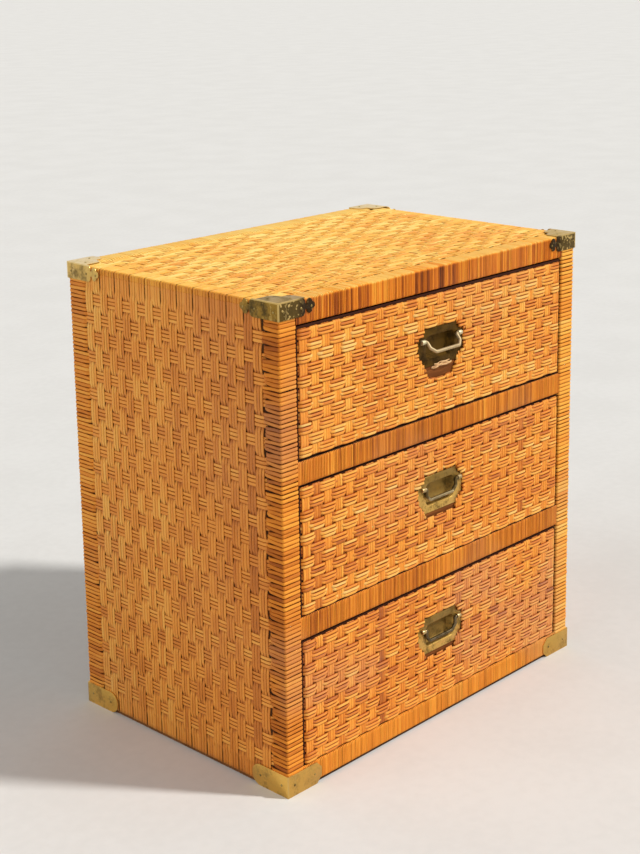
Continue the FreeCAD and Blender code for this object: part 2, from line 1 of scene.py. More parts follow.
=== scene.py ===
"""Looks of a small campaign chest: three drawers in a case covered with woven and wound cane.

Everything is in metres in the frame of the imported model: +Z is up, the front faces -Y and the
origin is the middle of the base. Strands are laid flat by Geometry Nodes, then led over the faces
and round the edges of the chest.
"""

import json
import logging
import math
from dataclasses import dataclass, field, fields, replace
from enum import Enum
from functools import reduce
from types import SimpleNamespace
from typing import Any, Callable, Iterable, Optional, Sequence, Union

import bmesh
import bpy
import numpy as np
from mathutils import Matrix, Vector

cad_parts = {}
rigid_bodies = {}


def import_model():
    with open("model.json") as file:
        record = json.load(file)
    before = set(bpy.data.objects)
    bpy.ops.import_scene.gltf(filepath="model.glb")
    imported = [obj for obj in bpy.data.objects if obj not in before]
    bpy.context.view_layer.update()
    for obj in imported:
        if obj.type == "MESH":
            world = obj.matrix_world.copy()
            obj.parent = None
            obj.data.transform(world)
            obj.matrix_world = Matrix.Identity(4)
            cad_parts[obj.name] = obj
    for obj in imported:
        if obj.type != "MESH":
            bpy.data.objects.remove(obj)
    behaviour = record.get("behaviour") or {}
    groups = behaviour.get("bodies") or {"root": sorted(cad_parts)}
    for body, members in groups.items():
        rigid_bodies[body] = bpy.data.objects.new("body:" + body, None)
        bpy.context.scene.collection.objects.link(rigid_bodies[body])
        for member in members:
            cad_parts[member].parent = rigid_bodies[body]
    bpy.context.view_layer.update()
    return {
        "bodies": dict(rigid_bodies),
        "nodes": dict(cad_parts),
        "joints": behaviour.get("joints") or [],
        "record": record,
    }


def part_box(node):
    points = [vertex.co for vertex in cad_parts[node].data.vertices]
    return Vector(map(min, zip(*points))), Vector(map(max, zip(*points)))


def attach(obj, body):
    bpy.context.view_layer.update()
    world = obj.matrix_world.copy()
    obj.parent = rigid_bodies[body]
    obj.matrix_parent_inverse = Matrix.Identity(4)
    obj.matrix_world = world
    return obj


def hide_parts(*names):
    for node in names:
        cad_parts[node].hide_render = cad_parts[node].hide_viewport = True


MM = 0.001
X, Y, Z = Vector((1, 0, 0)), Vector((0, 1, 0)), Vector((0, 0, 1))
PROFILE_SIDES = 6
PULL_LEVEL, DRAWER_STEP = 128.5 * MM, 205 * MM
PLATE_FACE = -200.6 * MM
CORNER_FACES = (305.2 * MM, 203.2 * MM, 648.2 * MM)
WHITE = (1.0, 1.0, 1.0)

log = logging.getLogger("chest")

Colour = tuple[float, float, float]
Range = tuple[float, float]
Stops = tuple[tuple[float, Colour], ...]
Value = Union["Wire", float, str, Sequence[float]]


class Slot(str, Enum):
    """Names of material slots of the record; no piece made here is given one."""

    WOVEN = "woven_cane"
    WOUND = "wrapped_cane"
    CORNER = "corner_brass"
    PULL = "pull_brass"
    BAIL = "bail_brass"


class Hand(str, Enum):
    """A side of the chest, seen from the front."""

    LEFT = "left"
    RIGHT = "right"


class End(str, Enum):
    """The front or the rear of the chest."""

    FRONT = "front"
    REAR = "rear"


class Wire:
    """An output of a node that takes part in Python arithmetic, one Math node a step."""

    def __init__(self, graph: "Graph", socket: bpy.types.NodeSocket) -> None:
        """Hold a socket and the graph that it belongs to."""
        self.graph = graph
        self.socket = socket

    def of(self, name: str) -> "Wire":
        """Return another output of the same node."""
        return Wire(self.graph, self.socket.node.outputs[name])

    def __add__(self, other: Value) -> "Wire":
        """Add."""
        return self.graph.calc("ADD", self, other)

    def __radd__(self, other: Value) -> "Wire":
        """Add to a number."""
        return self.graph.calc("ADD", other, self)

    def __sub__(self, other: Value) -> "Wire":
        """Subtract."""
        return self.graph.calc("SUBTRACT", self, other)

    def __rsub__(self, other: Value) -> "Wire":
        """Subtract from a number."""
        return self.graph.calc("SUBTRACT", other, self)

    def __mul__(self, other: Value) -> "Wire":
        """Multiply."""
        return self.graph.calc("MULTIPLY", self, other)

    def __truediv__(self, other: Value) -> "Wire":
        """Divide."""
        return self.graph.calc("DIVIDE", self, other)

    def __neg__(self) -> "Wire":
        """Change the sign."""
        return self.graph.calc("MULTIPLY", self, -1.0)

    def __abs__(self) -> "Wire":
        """Drop the sign."""
        return self.graph.calc("ABSOLUTE", self)


class Graph:
    """Adds nodes to one shader or geometry tree."""

    def __init__(self, tree: bpy.types.NodeTree) -> None:
        """Start on a tree."""
        self.tree = tree

    def add(
        self, kind: str, inputs: Optional[dict[Union[str, int], Value]] = None,
        output: Union[str, int, None] = None, **settings: Any,
    ) -> Wire:
        """Add a node.

        Args:
            kind: The node's type.
            inputs: Values or wires for its sockets, by name or index.
            output: The output to return, or None for the first one in use.
            settings: Its properties, set before the inputs.

        Returns:
            A wire from the output.
        """
        node = self.tree.nodes.new(kind)
        for name, value in settings.items():
            setattr(node, name, value)
        for key, value in (inputs or {}).items():
            if isinstance(value, Wire):
                self.tree.links.new(value.socket, node.inputs[key])
            else:
                node.inputs[key].default_value = value
        if output is None:
            return Wire(self, next((s for s in node.outputs if s.enabled), None))
        return Wire(self, node.outputs[output])

    def calc(self, operation: str, *values: Value) -> Wire:
        """Add one Math node."""
        return self.add("ShaderNodeMath", dict(enumerate(values)), operation=operation)

    def most(self, *values: Value) -> Wire:
        """Return the largest of several values."""
        return reduce(lambda first, other: self.calc("MAXIMUM", first, other), values)

    def ease(self, value: Wire, low: Value, high: Value, first: Value = 0.0, last: Value = 1.0) -> Wire:
        """Go smoothly from first to last while a value goes from low to high."""
        sockets = {"Value": value, "From Min": low, "From Max": high, "To Min": first, "To Max": last}
        return self.add("ShaderNodeMapRange", sockets, interpolation_type="SMOOTHSTEP")

    def climb(self, value: Wire, low: Value, high: Value) -> Wire:
        """Go evenly from 0 to 1 while a value goes from low to high."""
        return self.add("ShaderNodeMapRange", {"Value": value, "From Min": low, "From Max": high})

    def blend(self, share: Value, first: Value, last: Value, mode: str = "MIX") -> Wire:
        """Mix two colours.

        Args:
            share: The share of the last one.
            first: A colour.
            last: Another.
            mode: How they are mixed.

        Returns:
            The mixed colour.
        """
        first, last = (v if isinstance(v, Wire) else (*v, 1.0) for v in (first, last))
        sockets = {0: share, 6: first, 7: last}
        return self.add("ShaderNodeMix", sockets, 2, data_type="RGBA", blend_type=mode)

    def ramp(self, value: Wire, stops: Stops) -> Wire:
        """Turn a number into a colour by the stops of a ramp.

        Args:
            value: The number, from 0 to 1.
            stops: Positions and colours.

        Returns:
            The colour.
        """
        colour = self.add("ShaderNodeValToRGB", {"Fac": value})
        elements = colour.socket.node.color_ramp.elements
        while len(elements) < len(stops):
            elements.new(1.0)
        for element, (position, tint) in zip(elements, stops):
            element.position = position
            element.color = (*tint, 1.0)
        return colour

    def join(self, x: Value, y: Value, z: Value) -> Wire:
        """Make a vector of three numbers."""
        return self.add("ShaderNodeCombineXYZ", {"X": x, "Y": y, "Z": z})

    def split(self, vector: Wire) -> tuple[Wire, Wire, Wire]:
        """Return the three numbers of a vector."""
        axes = self.add("ShaderNodeSeparateXYZ", {"Vector": vector})
        return axes.of("X"), axes.of("Y"), axes.of("Z")

    def noise(self, place: Wire, scale: float = 1.0, detail: float = 2.0) -> Wire:
        """Sample a noise texture."""
        sockets = {"Vector": place, "Scale": scale, "Detail": detail}
        return self.add("ShaderNodeTexNoise", sockets, "Fac")

    def bump(self, height: Wire, strength: float, distance: float) -> Wire:
        """Return the normal of an uneven surface."""
        sockets = {"Height": height, "Strength": strength, "Distance": distance}
        return self.add("ShaderNodeBump", sockets)

    def attribute(self, name: str) -> Wire:
        """Read a number that a mesh carries."""
        return self.add("ShaderNodeAttribute", None, "Fac", attribute_name=name)

    def place(self) -> Wire:
        """Read the place on the chest."""
        return self.add("ShaderNodeTexCoord", None, "Object")

    def from_pull(self, z: Wire) -> Wire:
        """Return the height over the middle of the nearest drawer's pull."""
        return self.calc("WRAP", z - PULL_LEVEL, DRAWER_STEP / 2, -DRAWER_STEP / 2)

    def end(self, shape: Wire, material: Wire) -> None:
        """End a geometry tree with plain geometry of one material.

        Args:
            shape: What the tree has made.
            material: Its material.
        """
        shape = self.add("GeometryNodeRealizeInstances", {"Geometry": shape})
        shape = self.add("GeometryNodeSetMaterial", {"Geometry": shape, "Material": material})
        self.add("NodeGroupOutput", {"Geometry": shape})


@dataclass(frozen=True)
class Finish:
    """What every finish has: a name, and a surface that its nodes feed."""

    name: str

    def material(self) -> bpy.types.Material:
        """Return the material, made at the first call.

        Returns:
            The material.
        """
        name = self.name + "_finish"
        made = bpy.data.materials.get(name)
        if made is None:
            made = bpy.data.materials.new(name)
            made.use_nodes = True
            self.wire(Graph(made.node_tree), made.node_tree.nodes["Principled BSDF"])
        return made

    def wire(self, graph: Graph, surface: bpy.types.Node) -> None:
        """Feed the surface; each finish has its own way."""
        raise NotImplementedError

    @staticmethod
    def feed(graph: Graph, surface: bpy.types.Node, sheen: float, **wires: Wire) -> None:
        """Set the surface's sheen and link wires to its sockets, named with underscores.

        Args:
            graph: The finish's graph.
            surface: The shader node.
            sheen: Its specular level.
            wires: What to link.
        """
        surface.inputs["Specular IOR Level"].default_value = sheen
        for name, wire in wires.items():
            graph.tree.links.new(wire.socket, surface.inputs[name.replace("_", " ")])


@dataclass(frozen=True)
class CaneFinish(Finish):
    """Split cane: streaked along each strand, with painted shade at its edges and where it dives."""

    stops: Stops
    streak_scale: tuple[float, float, float] = (2.4, 45.0, 60.0)
    streak_weight: float = 0.34
    blotch_scale: float = 14.0
    blotch_weight: float = 0.22
    # The colour of the painted shade at the edges of strands and where they dive.
    dirt: Colour = (0.40, 0.22, 0.11)
    dive_shade: float = 0.50
    dive_lift: float = 0.75
    edge_shade: float = 0.60
    edge_from: float = 0.55
    edge_fade: float = 0.0
    fade_lift: float = 0.4
    dust: Colour = (0.50, 0.27, 0.15)
    dusty: float = 0.30
    dust_scale: float = 5.5
    dust_range: Range = (0.50, 0.68)
    sheen: float = 0.28
    roughness: float = 0.40
    rough_streaks: float = 0.22
    grain_strength: float = 0.35
    grain_depth: float = 0.4 * MM

    def wire(self, graph: Graph, surface: bpy.types.Node) -> None:
        """Colour each strand by its tone, with streaks, blotches and dust, and painted shade at its edges
        and where it dives.

        Args:
            graph: The finish's graph.
            surface: The shader node to feed.
        """
        tone, along, across, lift = map(graph.attribute, ("tone", "along", "across", "lift"))
        by_width, by_length, by_tone = self.streak_scale
        streak = graph.join(across * by_width, along * by_length, tone * by_tone)
        streak = graph.noise(streak, detail=4.0)
        blotch = graph.noise(graph.place(), self.blotch_scale, detail=3.0)
        shade = tone + (streak - 0.5) * self.streak_weight + (blotch - 0.5) * self.blotch_weight
        # Painted shade: darker where a strand dives under another and at its edges.
        dive = graph.ease(lift, 0.0, self.dive_lift, self.dive_shade, 0.0)
        edge = graph.ease(abs(across), self.edge_from, 1.0, 0.0, self.edge_shade)
        edge = edge * graph.ease(lift, self.fade_lift, 1.0, 1 - self.edge_fade, 1.0)
        painted_shade = graph.blend(graph.most(dive, edge), WHITE, self.dirt)
        settled = graph.noise(graph.place(), self.dust_scale)
        settled = graph.ease(settled, *self.dust_range, 0.0, self.dusty)
        colour = graph.blend(settled, graph.ramp(shade, self.stops), self.dust)
        self.feed(
            graph, surface, self.sheen,
            Base_Color=graph.blend(1.0, colour, painted_shade, "MULTIPLY"),
            Roughness=self.roughness + streak * self.rough_streaks,
            Normal=graph.bump(streak, self.grain_strength, self.grain_depth),
        )


@dataclass(frozen=True)
class BrassFinish(Finish):
    """Old sheet brass: tarnish in patches; folds, a crease, top faces, flecks and parts that stand proud
    painted lighter as wear and painted highlights; painted shade on the front faces, in hollows and
    towards the top of a pull plate; darker towards the front tip.
    """

    bright: Colour
    dull: Colour
    fleck: Colour = (0.78, 0.62, 0.30)
    # The colour towards which the front tip of a corner is darkened.
    grime: Colour = (0.030, 0.014, 0.004)
    tarnish: float = 0.5
    tarnish_reach: float = 0.4
    tarnish_range: Range = (0.62, 0.84)
    tarnish_metal: float = 0.25
    tarnish_rough: float = 0.26
    coarse_scale: float = 60.0
    coarse_weight: float = 0.75
    fine_scale: float = 300.0
    fine_weight: float = 0.25
    speck_scale: float = 700.0
    speck_weight: float = 0.25
    speck_rough: float = 0.08
    # Pale flecks on the faces: painted glints.
    flecked: float = 0.0
    fleck_range: Range = (0.56, 0.66)
    fleck_off_front: float = 0.25
    # How much the folds, a crease and the top face are painted lighter, as wear and painted highlight.
    rubbed: float = 0.0
    rubbed_top: float = 0.9
    rubbed_flat: float = 0.12
    rubbed_smooth: float = 0.1
    fold_range: Range = (1.3 * MM, 2.2 * MM)
    face_range: Range = (0.4 * MM, 0.9 * MM)
    crease: float = 0.55
    crease_from_fold: float = 13 * MM
    crease_waver: float = 9 * MM
    crease_range: Range = (0.3 * MM, 1.4 * MM)
    # Painted shade: hollow darkens the hollows of a pull, dim_top the top of a pull plate and dark_front
    # the front faces.
    hollow: float = 0.0
    hollow_range: Range = (0.3 * MM, 4 * MM)
    proud: float = 0.0
    proud_range: Range = (0.7 * MM, 1.2 * MM)
    dim_top: float = 0.0
    dim_range: Range = (-6 * MM, 20 * MM)
    dark_front: float = 0.0
    dark_tip: float = 0.0
    tip_range: Range = (30 * MM, 42 * MM)
    grime_cover: float = 0.85
    beaten: float = 0.2
    beat_scale: float = 210.0
    beat_specks: float = 0.12
    beat_depth: float = 1.2 * MM
    polish: float = 0.32
    metal: float = 0.8
    sheen: float = 0.15

    def wire(self, graph: Graph, surface: bpy.types.Node) -> None:
        """Mix clean and tarnished brass with painted shade and a darker front tip, and lay over it the
        places painted lighter as wear and painted highlights.

        Args:
            graph: The finish's graph.
            surface: The shader node to feed.
        """
        place = graph.place()
        axes = graph.split(place)
        patch = graph.noise(place, self.coarse_scale, detail=4.0) * self.coarse_weight
        patch = patch + graph.noise(place, self.fine_scale) * self.fine_weight
        mask = graph.ease(patch, *(at - self.tarnish * self.tarnish_reach for at in self.tarnish_range))
        speck = graph.noise(place, self.speck_scale)
        beat = graph.noise(place, self.beat_scale, detail=1.0)
        inward = [size - abs(axis) for axis, size in zip(axes, CORNER_FACES)]
        depth = axes[1] - PLATE_FACE
        # Painted shade on the front faces, in the hollows of a pull and towards the top of a pull plate.
        front = graph.ease(inward[1], *self.face_range, 1.0, 0.0)
        sunk = graph.ease(depth, *self.hollow_range, 0.0, self.hollow)
        darkened_tip = front * graph.ease(inward[0], *self.tip_range, 0.0, self.dark_tip)
        colour = graph.blend(mask, self.bright, self.dull)
        for share, over in (
            (speck * self.speck_weight, self.dull),
            (graph.ease(graph.from_pull(axes[2]), *self.dim_range, 0.0, self.dim_top), self.dull),
            (graph.most(sunk, front * self.dark_front), self.dull),
            (darkened_tip, self.grime),
        ):
            colour = graph.blend(share, colour, over)
        # Parts that stand proud are painted lighter, as wear and painted highlight.
        stands = graph.ease(-depth, *self.proud_range, 0.0, self.proud)
        wear_and_highlight = graph.most(self.rubbed_folds(graph, inward, beat), stands)
        wear_and_highlight = wear_and_highlight * (1 - darkened_tip * self.grime_cover)
        rough = self.polish + mask * self.tarnish_rough + speck * self.speck_rough
        self.feed(
            graph, surface, self.sheen,
            Base_Color=graph.blend(wear_and_highlight, colour, self.fleck),
            Metallic=self.metal - mask * self.tarnish_metal,
            Roughness=rough - wear_and_highlight * self.rubbed_smooth,
            Normal=graph.bump(beat + speck * self.beat_specks, self.beaten, self.beat_depth),
        )

    def rubbed_folds(self, graph: Graph, inward: Sequence[Wire], beat: Wire) -> Wire:
        """Find what is painted lighter as wear and painted highlight: the folds of the corners, a crease
        beside them, the top face, and flecks, painted glints, on the front and the back.

        Args:
            graph: The finish's graph.
            inward: Distances from the chest's outer faces along X, Y and Z.
            beat: Noise of the beaten surface.

        Returns:
            How much each place is painted lighter.
        """
        from_fold = inward[0] + inward[1] + inward[2] - graph.most(*inward)
        fold = graph.ease(from_fold, *self.fold_range, 1.0, self.rubbed_flat)
        crease = inward[0] + inward[1] + (beat - 0.5) * self.crease_waver
        crease = graph.ease(abs(crease - self.crease_from_fold), *self.crease_range, self.crease, 0.0)
        top = graph.ease(inward[2], *self.face_range, self.rubbed_top, 0.0)
        faced = graph.ease(inward[1], *self.face_range, 1.0, self.fleck_off_front)
        flecks = graph.ease(beat, *self.fleck_range) * faced * self.flecked
        return graph.most(graph.most(fold, crease, top) * self.rubbed, flecks)


@dataclass(frozen=True)
class WoodFinish(Finish):
    """Sawn timber with a grain along one axis, and in front of a plane a dark stain, with painted shade in
    the gaps round a drawer and a pale colour painted under the weave against the shade in its holes.
    """

    light: Colour
    dark: Colour
    grain: Vector
    along_scale: float = 9.0
    cross_scale: float = 130.0
    band_scale: float = 0.30
    pore_scale: float = 3.0
    figure_range: Range = (0.32, 0.68)
    pore_depth: float = 0.5 * MM
    pore_strength: float = 0.25
    roughness: float = 0.60
    rough_pores: float = 0.22
    sheen: float = 0.12
    stain_plane: Optional[float] = None
    stain_blur: float = 0.5 * MM
    stain: Colour = (0.150, 0.040, 0.005)
    stain_cover: float = 0.96
    rubbed: Colour = (0.270, 0.085, 0.016)
    rubbed_range: Range = (0.42, 0.70)
    # Painted light: the board under the weave, away from the pull, is pale, so that the holes in the weave
    # look less shaded.
    under_weave: Colour = (0.78, 0.300, 0.055)
    bare_width: Range = (50 * MM, 54 * MM)
    bare_height: Range = (56 * MM, 60 * MM)
    # Painted shade: the near black of the gaps round a drawer, and where it lies.
    gap: Colour = (0.036, 0.006, 0.002)
    gap_above: Range = (66 * MM, 69 * MM)
    gap_below: Range = (88 * MM, 91 * MM)
    gap_beside: Range = (265 * MM, 268 * MM)
    gap_behind: Range = (-198.4 * MM, -197.8 * MM)

    def wire(self, graph: Graph, surface: bpy.types.Node) -> None:
        """Stretch the grain along its axis and lay the stain over it.

        Args:
            graph: The finish's graph.
            surface: The shader node to feed.
        """
        stretch = tuple(self.along_scale if axis else self.cross_scale for axis in self.grain)
        place = graph.place()
        fibre = graph.add("ShaderNodeVectorMath", {0: place, 1: stretch}, operation="MULTIPLY")
        bands = graph.noise(fibre, self.band_scale, detail=3.0)
        pores = graph.noise(fibre, self.pore_scale, detail=3.0)
        figure = graph.ease(bands * 0.5 + pores * 0.5, *self.figure_range)
        colour = graph.blend(figure, self.light, self.dark)
        if self.stain_plane is not None:
            colour = self.stained(graph, place, pores, colour)
        self.feed(
            graph, surface, self.sheen,
            Base_Color=colour,
            Roughness=self.roughness + pores * self.rough_pores,
            Normal=graph.bump(pores, self.pore_strength, self.pore_depth),
        )

    def stained(self, graph: Graph, place: Wire, pores: Wire, colour: Wire) -> Wire:
        """Lay the stain over the wood in front of its plane, with painted shade, near black, in the gaps
        round a drawer, and a pale colour under the weave, painted against the shade in its holes.

        Args:
            graph: The finish's graph.
            place: The place on the chest.
            pores: The grain.
            colour: The bare wood.

        Returns:
            The colour with the stain, the painted shade and the pale colour under the weave.
        """
        x, y, z = graph.split(place)
        width, height = abs(x), graph.from_pull(z)
        # Painted shade: near black in the gaps above, below and beside a drawer and behind its face.
        rim = graph.most(
            graph.ease(height, *self.gap_above), graph.ease(-height, *self.gap_below),
            graph.ease(width, *self.gap_beside), graph.ease(y, *self.gap_behind),
        )
        # Painted light: away from the bare wood round the pull, the board under the weave is pale, so that
        # the holes in the weave look less shaded.
        away = graph.most(
            graph.ease(width, *self.bare_width), graph.ease(abs(height), *self.bare_height)
        )
        stain = graph.blend(graph.ease(pores, *self.rubbed_range), self.stain, self.rubbed)
        stain = graph.blend(rim, graph.blend(away, stain, self.under_weave), self.gap)
        edge = (self.stain_plane - self.stain_blur, self.stain_plane + self.stain_blur)
        return graph.blend(graph.ease(y, *edge, self.stain_cover, 0.0), colour, stain)


@dataclass(frozen=True)
class FloorFinish(Finish):
    """A plain pale floor with a faint mottle."""

    light: Colour
    dark: Colour
    coarse_scale: float = 5.0
    coarse_weight: float = 0.6
    fine_scale: float = 60.0
    fine_weight: float = 0.4
    mottle_range: Range = (0.35, 0.65)
    roughness: float = 0.80
    rough_mottle: float = 0.1
    sheen: float = 0.5

    def wire(self, graph: Graph, surface: bpy.types.Node) -> None:
        """Mottle the floor.

        Args:
            graph: The finish's graph.
            surface: The shader node to feed.
        """
        place = graph.place()
        mottle = graph.noise(place, self.coarse_scale, detail=6.0) * self.coarse_weight
        mottle = mottle + graph.noise(place, self.fine_scale, detail=4.0) * self.fine_weight
        colour = graph.blend(graph.ease(mottle, *self.mottle_range), self.light, self.dark)
        rough = self.roughness + mottle * self.rough_mottle
        self.feed(graph, surface, self.sheen, Base_Color=colour, Roughness=rough)


CANE_STOPS = (
    (0.00, (0.120, 0.030, 0.006)),
    (0.18, (0.370, 0.100, 0.014)),
    (0.38, (0.690, 0.230, 0.026)),
    (0.58, (0.890, 0.355, 0.043)),
    (0.78, (0.960, 0.500, 0.080)),
    (1.00, (0.980, 0.700, 0.230)),
)


def tinted(green: float, blue: float) -> Stops:
    """Return the stops of cane with other shares of green and blue."""
    return tuple((at, (r, g * green, b * blue)) for at, (r, g, b) in CANE_STOPS)


# In each cane finish the shade colour, dive_shade and edge_shade set the painted shade at the edges of
# strands and where they dive.
WOVEN_CANE = CaneFinish("woven_cane", tinted(0.94, 1.08), edge_shade=0.52, dusty=0.08)
# The top's cane: yellower, as painted light from above, with a paler painted shade at edges and dives.
TOP_CANE = CaneFinish(
    "top_cane", tinted(1.0, 0.80), dirt=(0.74, 0.36, 0.12), dive_shade=0.34, edge_shade=0.45, dusty=0.0
)
FRONT_CANE = CaneFinish(
    "front_cane", tinted(0.86, 0.70), dirt=(0.36, 0.135, 0.030), dive_shade=0.70, edge_shade=1.0,
    edge_from=0.36, edge_fade=0.5, dust=(0.62, 0.31, 0.17), dusty=0.12,
)
DUSTY_CANE = replace(FRONT_CANE, name="dusty_front_cane", dusty=0.32)
WOUND_CANE = CaneFinish("wound_cane", tinted(0.90, 0.75), roughness=0.46, edge_shade=0.68, sheen=0.14)
PALE_WOUND_CANE = replace(
    WOUND_CANE, name="pale_wound_cane", stops=tinted(0.93, 1.0), dirt=(0.50, 0.27, 0.13), dusty=0.12
)
RED_CANE = replace(WOUND_CANE, name="red_wound_cane", stops=tinted(0.80, 0.52), dusty=0.10)
FRAYED_CANE = CaneFinish("frayed_cane", ((0.0, (0.62, 0.31, 0.11)), (1.0, (0.92, 0.60, 0.29))))
# The corners' folds, top faces and flecks are painted lighter as wear and painted highlights, and their
# front faces darker as painted shade; the near corner's top face is lightened less.
UPPER_BRASS = BrassFinish(
    "upper_corner_brass", (0.315, 0.172, 0.020), (0.038, 0.020, 0.002), (0.82, 0.57, 0.20),
    tarnish=0.52, flecked=0.7, rubbed=0.65, dark_front=0.82, dark_tip=0.95, beaten=0.45, polish=0.40,
    metal=0.9,
)
NEAR_UPPER_BRASS = replace(UPPER_BRASS, name="near_upper_corner_brass", rubbed_top=0.34)
PALE_UPPER_BRASS = BrassFinish(
    "pale_upper_corner_brass", (0.72, 0.46, 0.115), (0.21, 0.13, 0.026), (0.92, 0.71, 0.35),
    tarnish=0.44, flecked=0.5, rubbed=0.7, beaten=0.45, metal=0.9,
)
# The lower corners' front faces carry painted shade.
LOWER_BRASS = BrassFinish(
    "lower_corner_brass", (0.86, 0.53, 0.115), (0.42, 0.24, 0.055), tarnish=0.42, rubbed=0.2,
    dark_front=0.5, metal=0.92,
)
# Painted reflection: the upper pull's plate is painted dark, as a reflection of dark surroundings.
DARK_PULL = BrassFinish(
    "dark_pull_brass", (0.125, 0.063, 0.009), (0.062, 0.031, 0.005), (0.74, 0.66, 0.42),
    tarnish=0.5, proud=0.8, beaten=0.06, polish=0.50, metal=0.9,
)
# The pull plates carry painted shade in their hollows and towards their tops.
PULL_BRASS = BrassFinish(
    "pull_brass", (0.74, 0.45, 0.110), (0.17, 0.100, 0.021), (0.80, 0.64, 0.36),
    tarnish=0.46, hollow=0.62, dim_top=0.72, proud=0.3, beaten=0.15, metal=0.8,
)
# Painted reflection: the upper pull's bail is painted pale, as a reflection of the sky.
PALE_BAIL = BrassFinish(
    "pale_bail_brass", (0.47, 0.35, 0.19), (0.33, 0.235, 0.11), (0.47, 0.35, 0.19),
    tarnish=0.35, beaten=0.06, polish=0.46, metal=0.5,
)
BAIL_BRASS = BrassFinish(
    "bail_brass", (0.42, 0.32, 0.17), (0.12, 0.080, 0.028), tarnish=0.52, beaten=0.06, polish=0.18,
    metal=0.95,
)
DARK_BAIL = replace(
    BAIL_BRASS, name="dark_bail_brass", bright=(0.19, 0.14, 0.075), dull=(0.055, 0.037, 0.014)
)
NAIL_BRASS = BrassFinish("nail_brass", (0.40, 0.28, 0.09), (0.12, 0.08, 0.02), tarnish=0.52, beaten=0.1)
DARK_WOOD = WoodFinish("stained_case_wood", (0.085, 0.036, 0.015), (0.040, 0.018, 0.008), Z)
FRONT_WOOD = WoodFinish(
    "drawer_front_wood", (0.40, 0.22, 0.105), (0.25, 0.125, 0.055), X, stain_plane=-190.0 * MM
)
BOX_WOOD = WoodFinish("drawer_box_wood", (0.47, 0.29, 0.15), (0.33, 0.185, 0.085), Y)
CROSS_WOOD = WoodFinish("drawer_cross_wood", (0.46, 0.28, 0.145), (0.32, 0.18, 0.083), X)
# Painted light: the top board is pale, so that where it shows through the holes of the top's weave it
# looks less shaded.
TOP_WOOD = WoodFinish("top_board_wood", (0.70, 0.33, 0.080), (0.56, 0.25, 0.058), X)
SIDE_WOOD = WoodFinish("side_board_wood", (0.27, 0.112, 0.036), (0.18, 0.072, 0.022), Z)
BACK_WOOD = WoodFinish("back_board_wood", (0.42, 0.215, 0.085), (0.27, 0.125, 0.044), Z)
PALE_FLOOR = FloorFinish("pale_floor", (0.73, 0.71, 0.67), (0.695, 0.675, 0.635))


def put(name: str, data: Any) -> bpy.types.Object:
    """Add an object to the scene.

    Args:
        name: Its name.
        data: Its mesh, lamp or camera.

    Returns:
        The object.
    """
    thing = bpy.data.objects.new(name, data)
    bpy.context.scene.collection.objects.link(thing)
    return thing


def coat(mesh: bpy.types.Mesh, finish: Finish) -> None:
    """Give a mesh one finish."""
    mesh.materials.clear()
    mesh.materials.append(finish.material())


def settle(name: str, shape: bmesh.types.BMesh) -> bpy.types.Mesh:
    """Turn a shape that is being edited into a mesh.

    Args:
        name: The mesh's name.
        shape: The shape, which is freed.

    Returns:
        The mesh.
    """
    mesh = bpy.data.meshes.new(name)
    shape.to_mesh(mesh)
    shape.free()
    return mesh


def merged(meshes: Iterable[bpy.types.Mesh]) -> bmesh.types.BMesh:
    """Put several meshes into one.

    Args:
        meshes: The meshes, which are removed.

    Returns:
        The whole.
    """
    whole = bmesh.new()
    for mesh in meshes:
        whole.from_mesh(mesh)
        bpy.data.meshes.remove(mesh)
    return whole


def bake(carrier: bpy.types.Object) -> bpy.types.Mesh:
    """Turn an object with its modifiers into a plain mesh and remove the object.

    Args:
        carrier: The object.

    Returns:
        The mesh.
    """
    graph = bpy.context.evaluated_depsgraph_get()
    mesh = bpy.data.meshes.new_from_object(
        carrier.evaluated_get(graph), preserve_all_data_layers=True, depsgraph=graph
    )
    bpy.data.objects.remove(carrier)
    return mesh


def add_piece(
    name: str, shape: Union[bmesh.types.BMesh, bpy.types.Mesh], finish: Finish, body: str,
    stands_for: Sequence[str] = (),
) -> None:
    """Make a finished piece that rides on a body.

    Args:
        name: The piece's name.
        shape: Its mesh, in place.
        finish: Its finish.
        body: The CAD body that it moves with.
        stands_for: The CAD nodes that it is shown instead of.
    """
    mesh = settle(name, shape) if isinstance(shape, bmesh.types.BMesh) else shape
    mesh.name = name
    coat(mesh, finish)
    piece = put(name, mesh)
    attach(piece, body)
    if stands_for:
        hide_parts(*stands_for)
    log.info("%s: %d faces on %s", name, len(mesh.polygons), body)


class NodeTool:
    """A Geometry Nodes tree with named inputs that is run to make plain meshes."""

    def __init__(self, name: str, inputs: dict[str, str]) -> None:
        """Start a tree.

        Args:
            name: The tree's name.
            inputs: Kinds of its inputs by name, in order.
        """
        self.tree = bpy.data.node_groups.new(name, "GeometryNodeTree")
        face = self.tree.interface
        face.new_socket("Geometry", in_out="OUTPUT", socket_type="NodeSocketGeometry")
        self.sockets = {
            item: face.new_socket(item, socket_type="NodeSocket" + kind).identifier
            for item, kind in inputs.items()
        }
        self.graph = Graph(self.tree)
        given = self.graph.add("NodeGroupInput")
        self.given = SimpleNamespace(**{item: given.of(item) for item in inputs})

    def run(self, source: Optional[bpy.types.Mesh] = None, **values: Any) -> bpy.types.Mesh:
        """Run the tree once.

        Args:
            source: A mesh for the tree to start from, or None.
            values: Values of its inputs.

        Returns:
            The result as a plain mesh.
        """
        carrier = put("carrier", source or bpy.data.meshes.new("carrier"))
        modifier = carrier.modifiers.new("tree", "NODES")
        modifier.node_group = self.tree
        for name, value in values.items():
            modifier[self.sockets[name]] = value
        return bake(carrier)


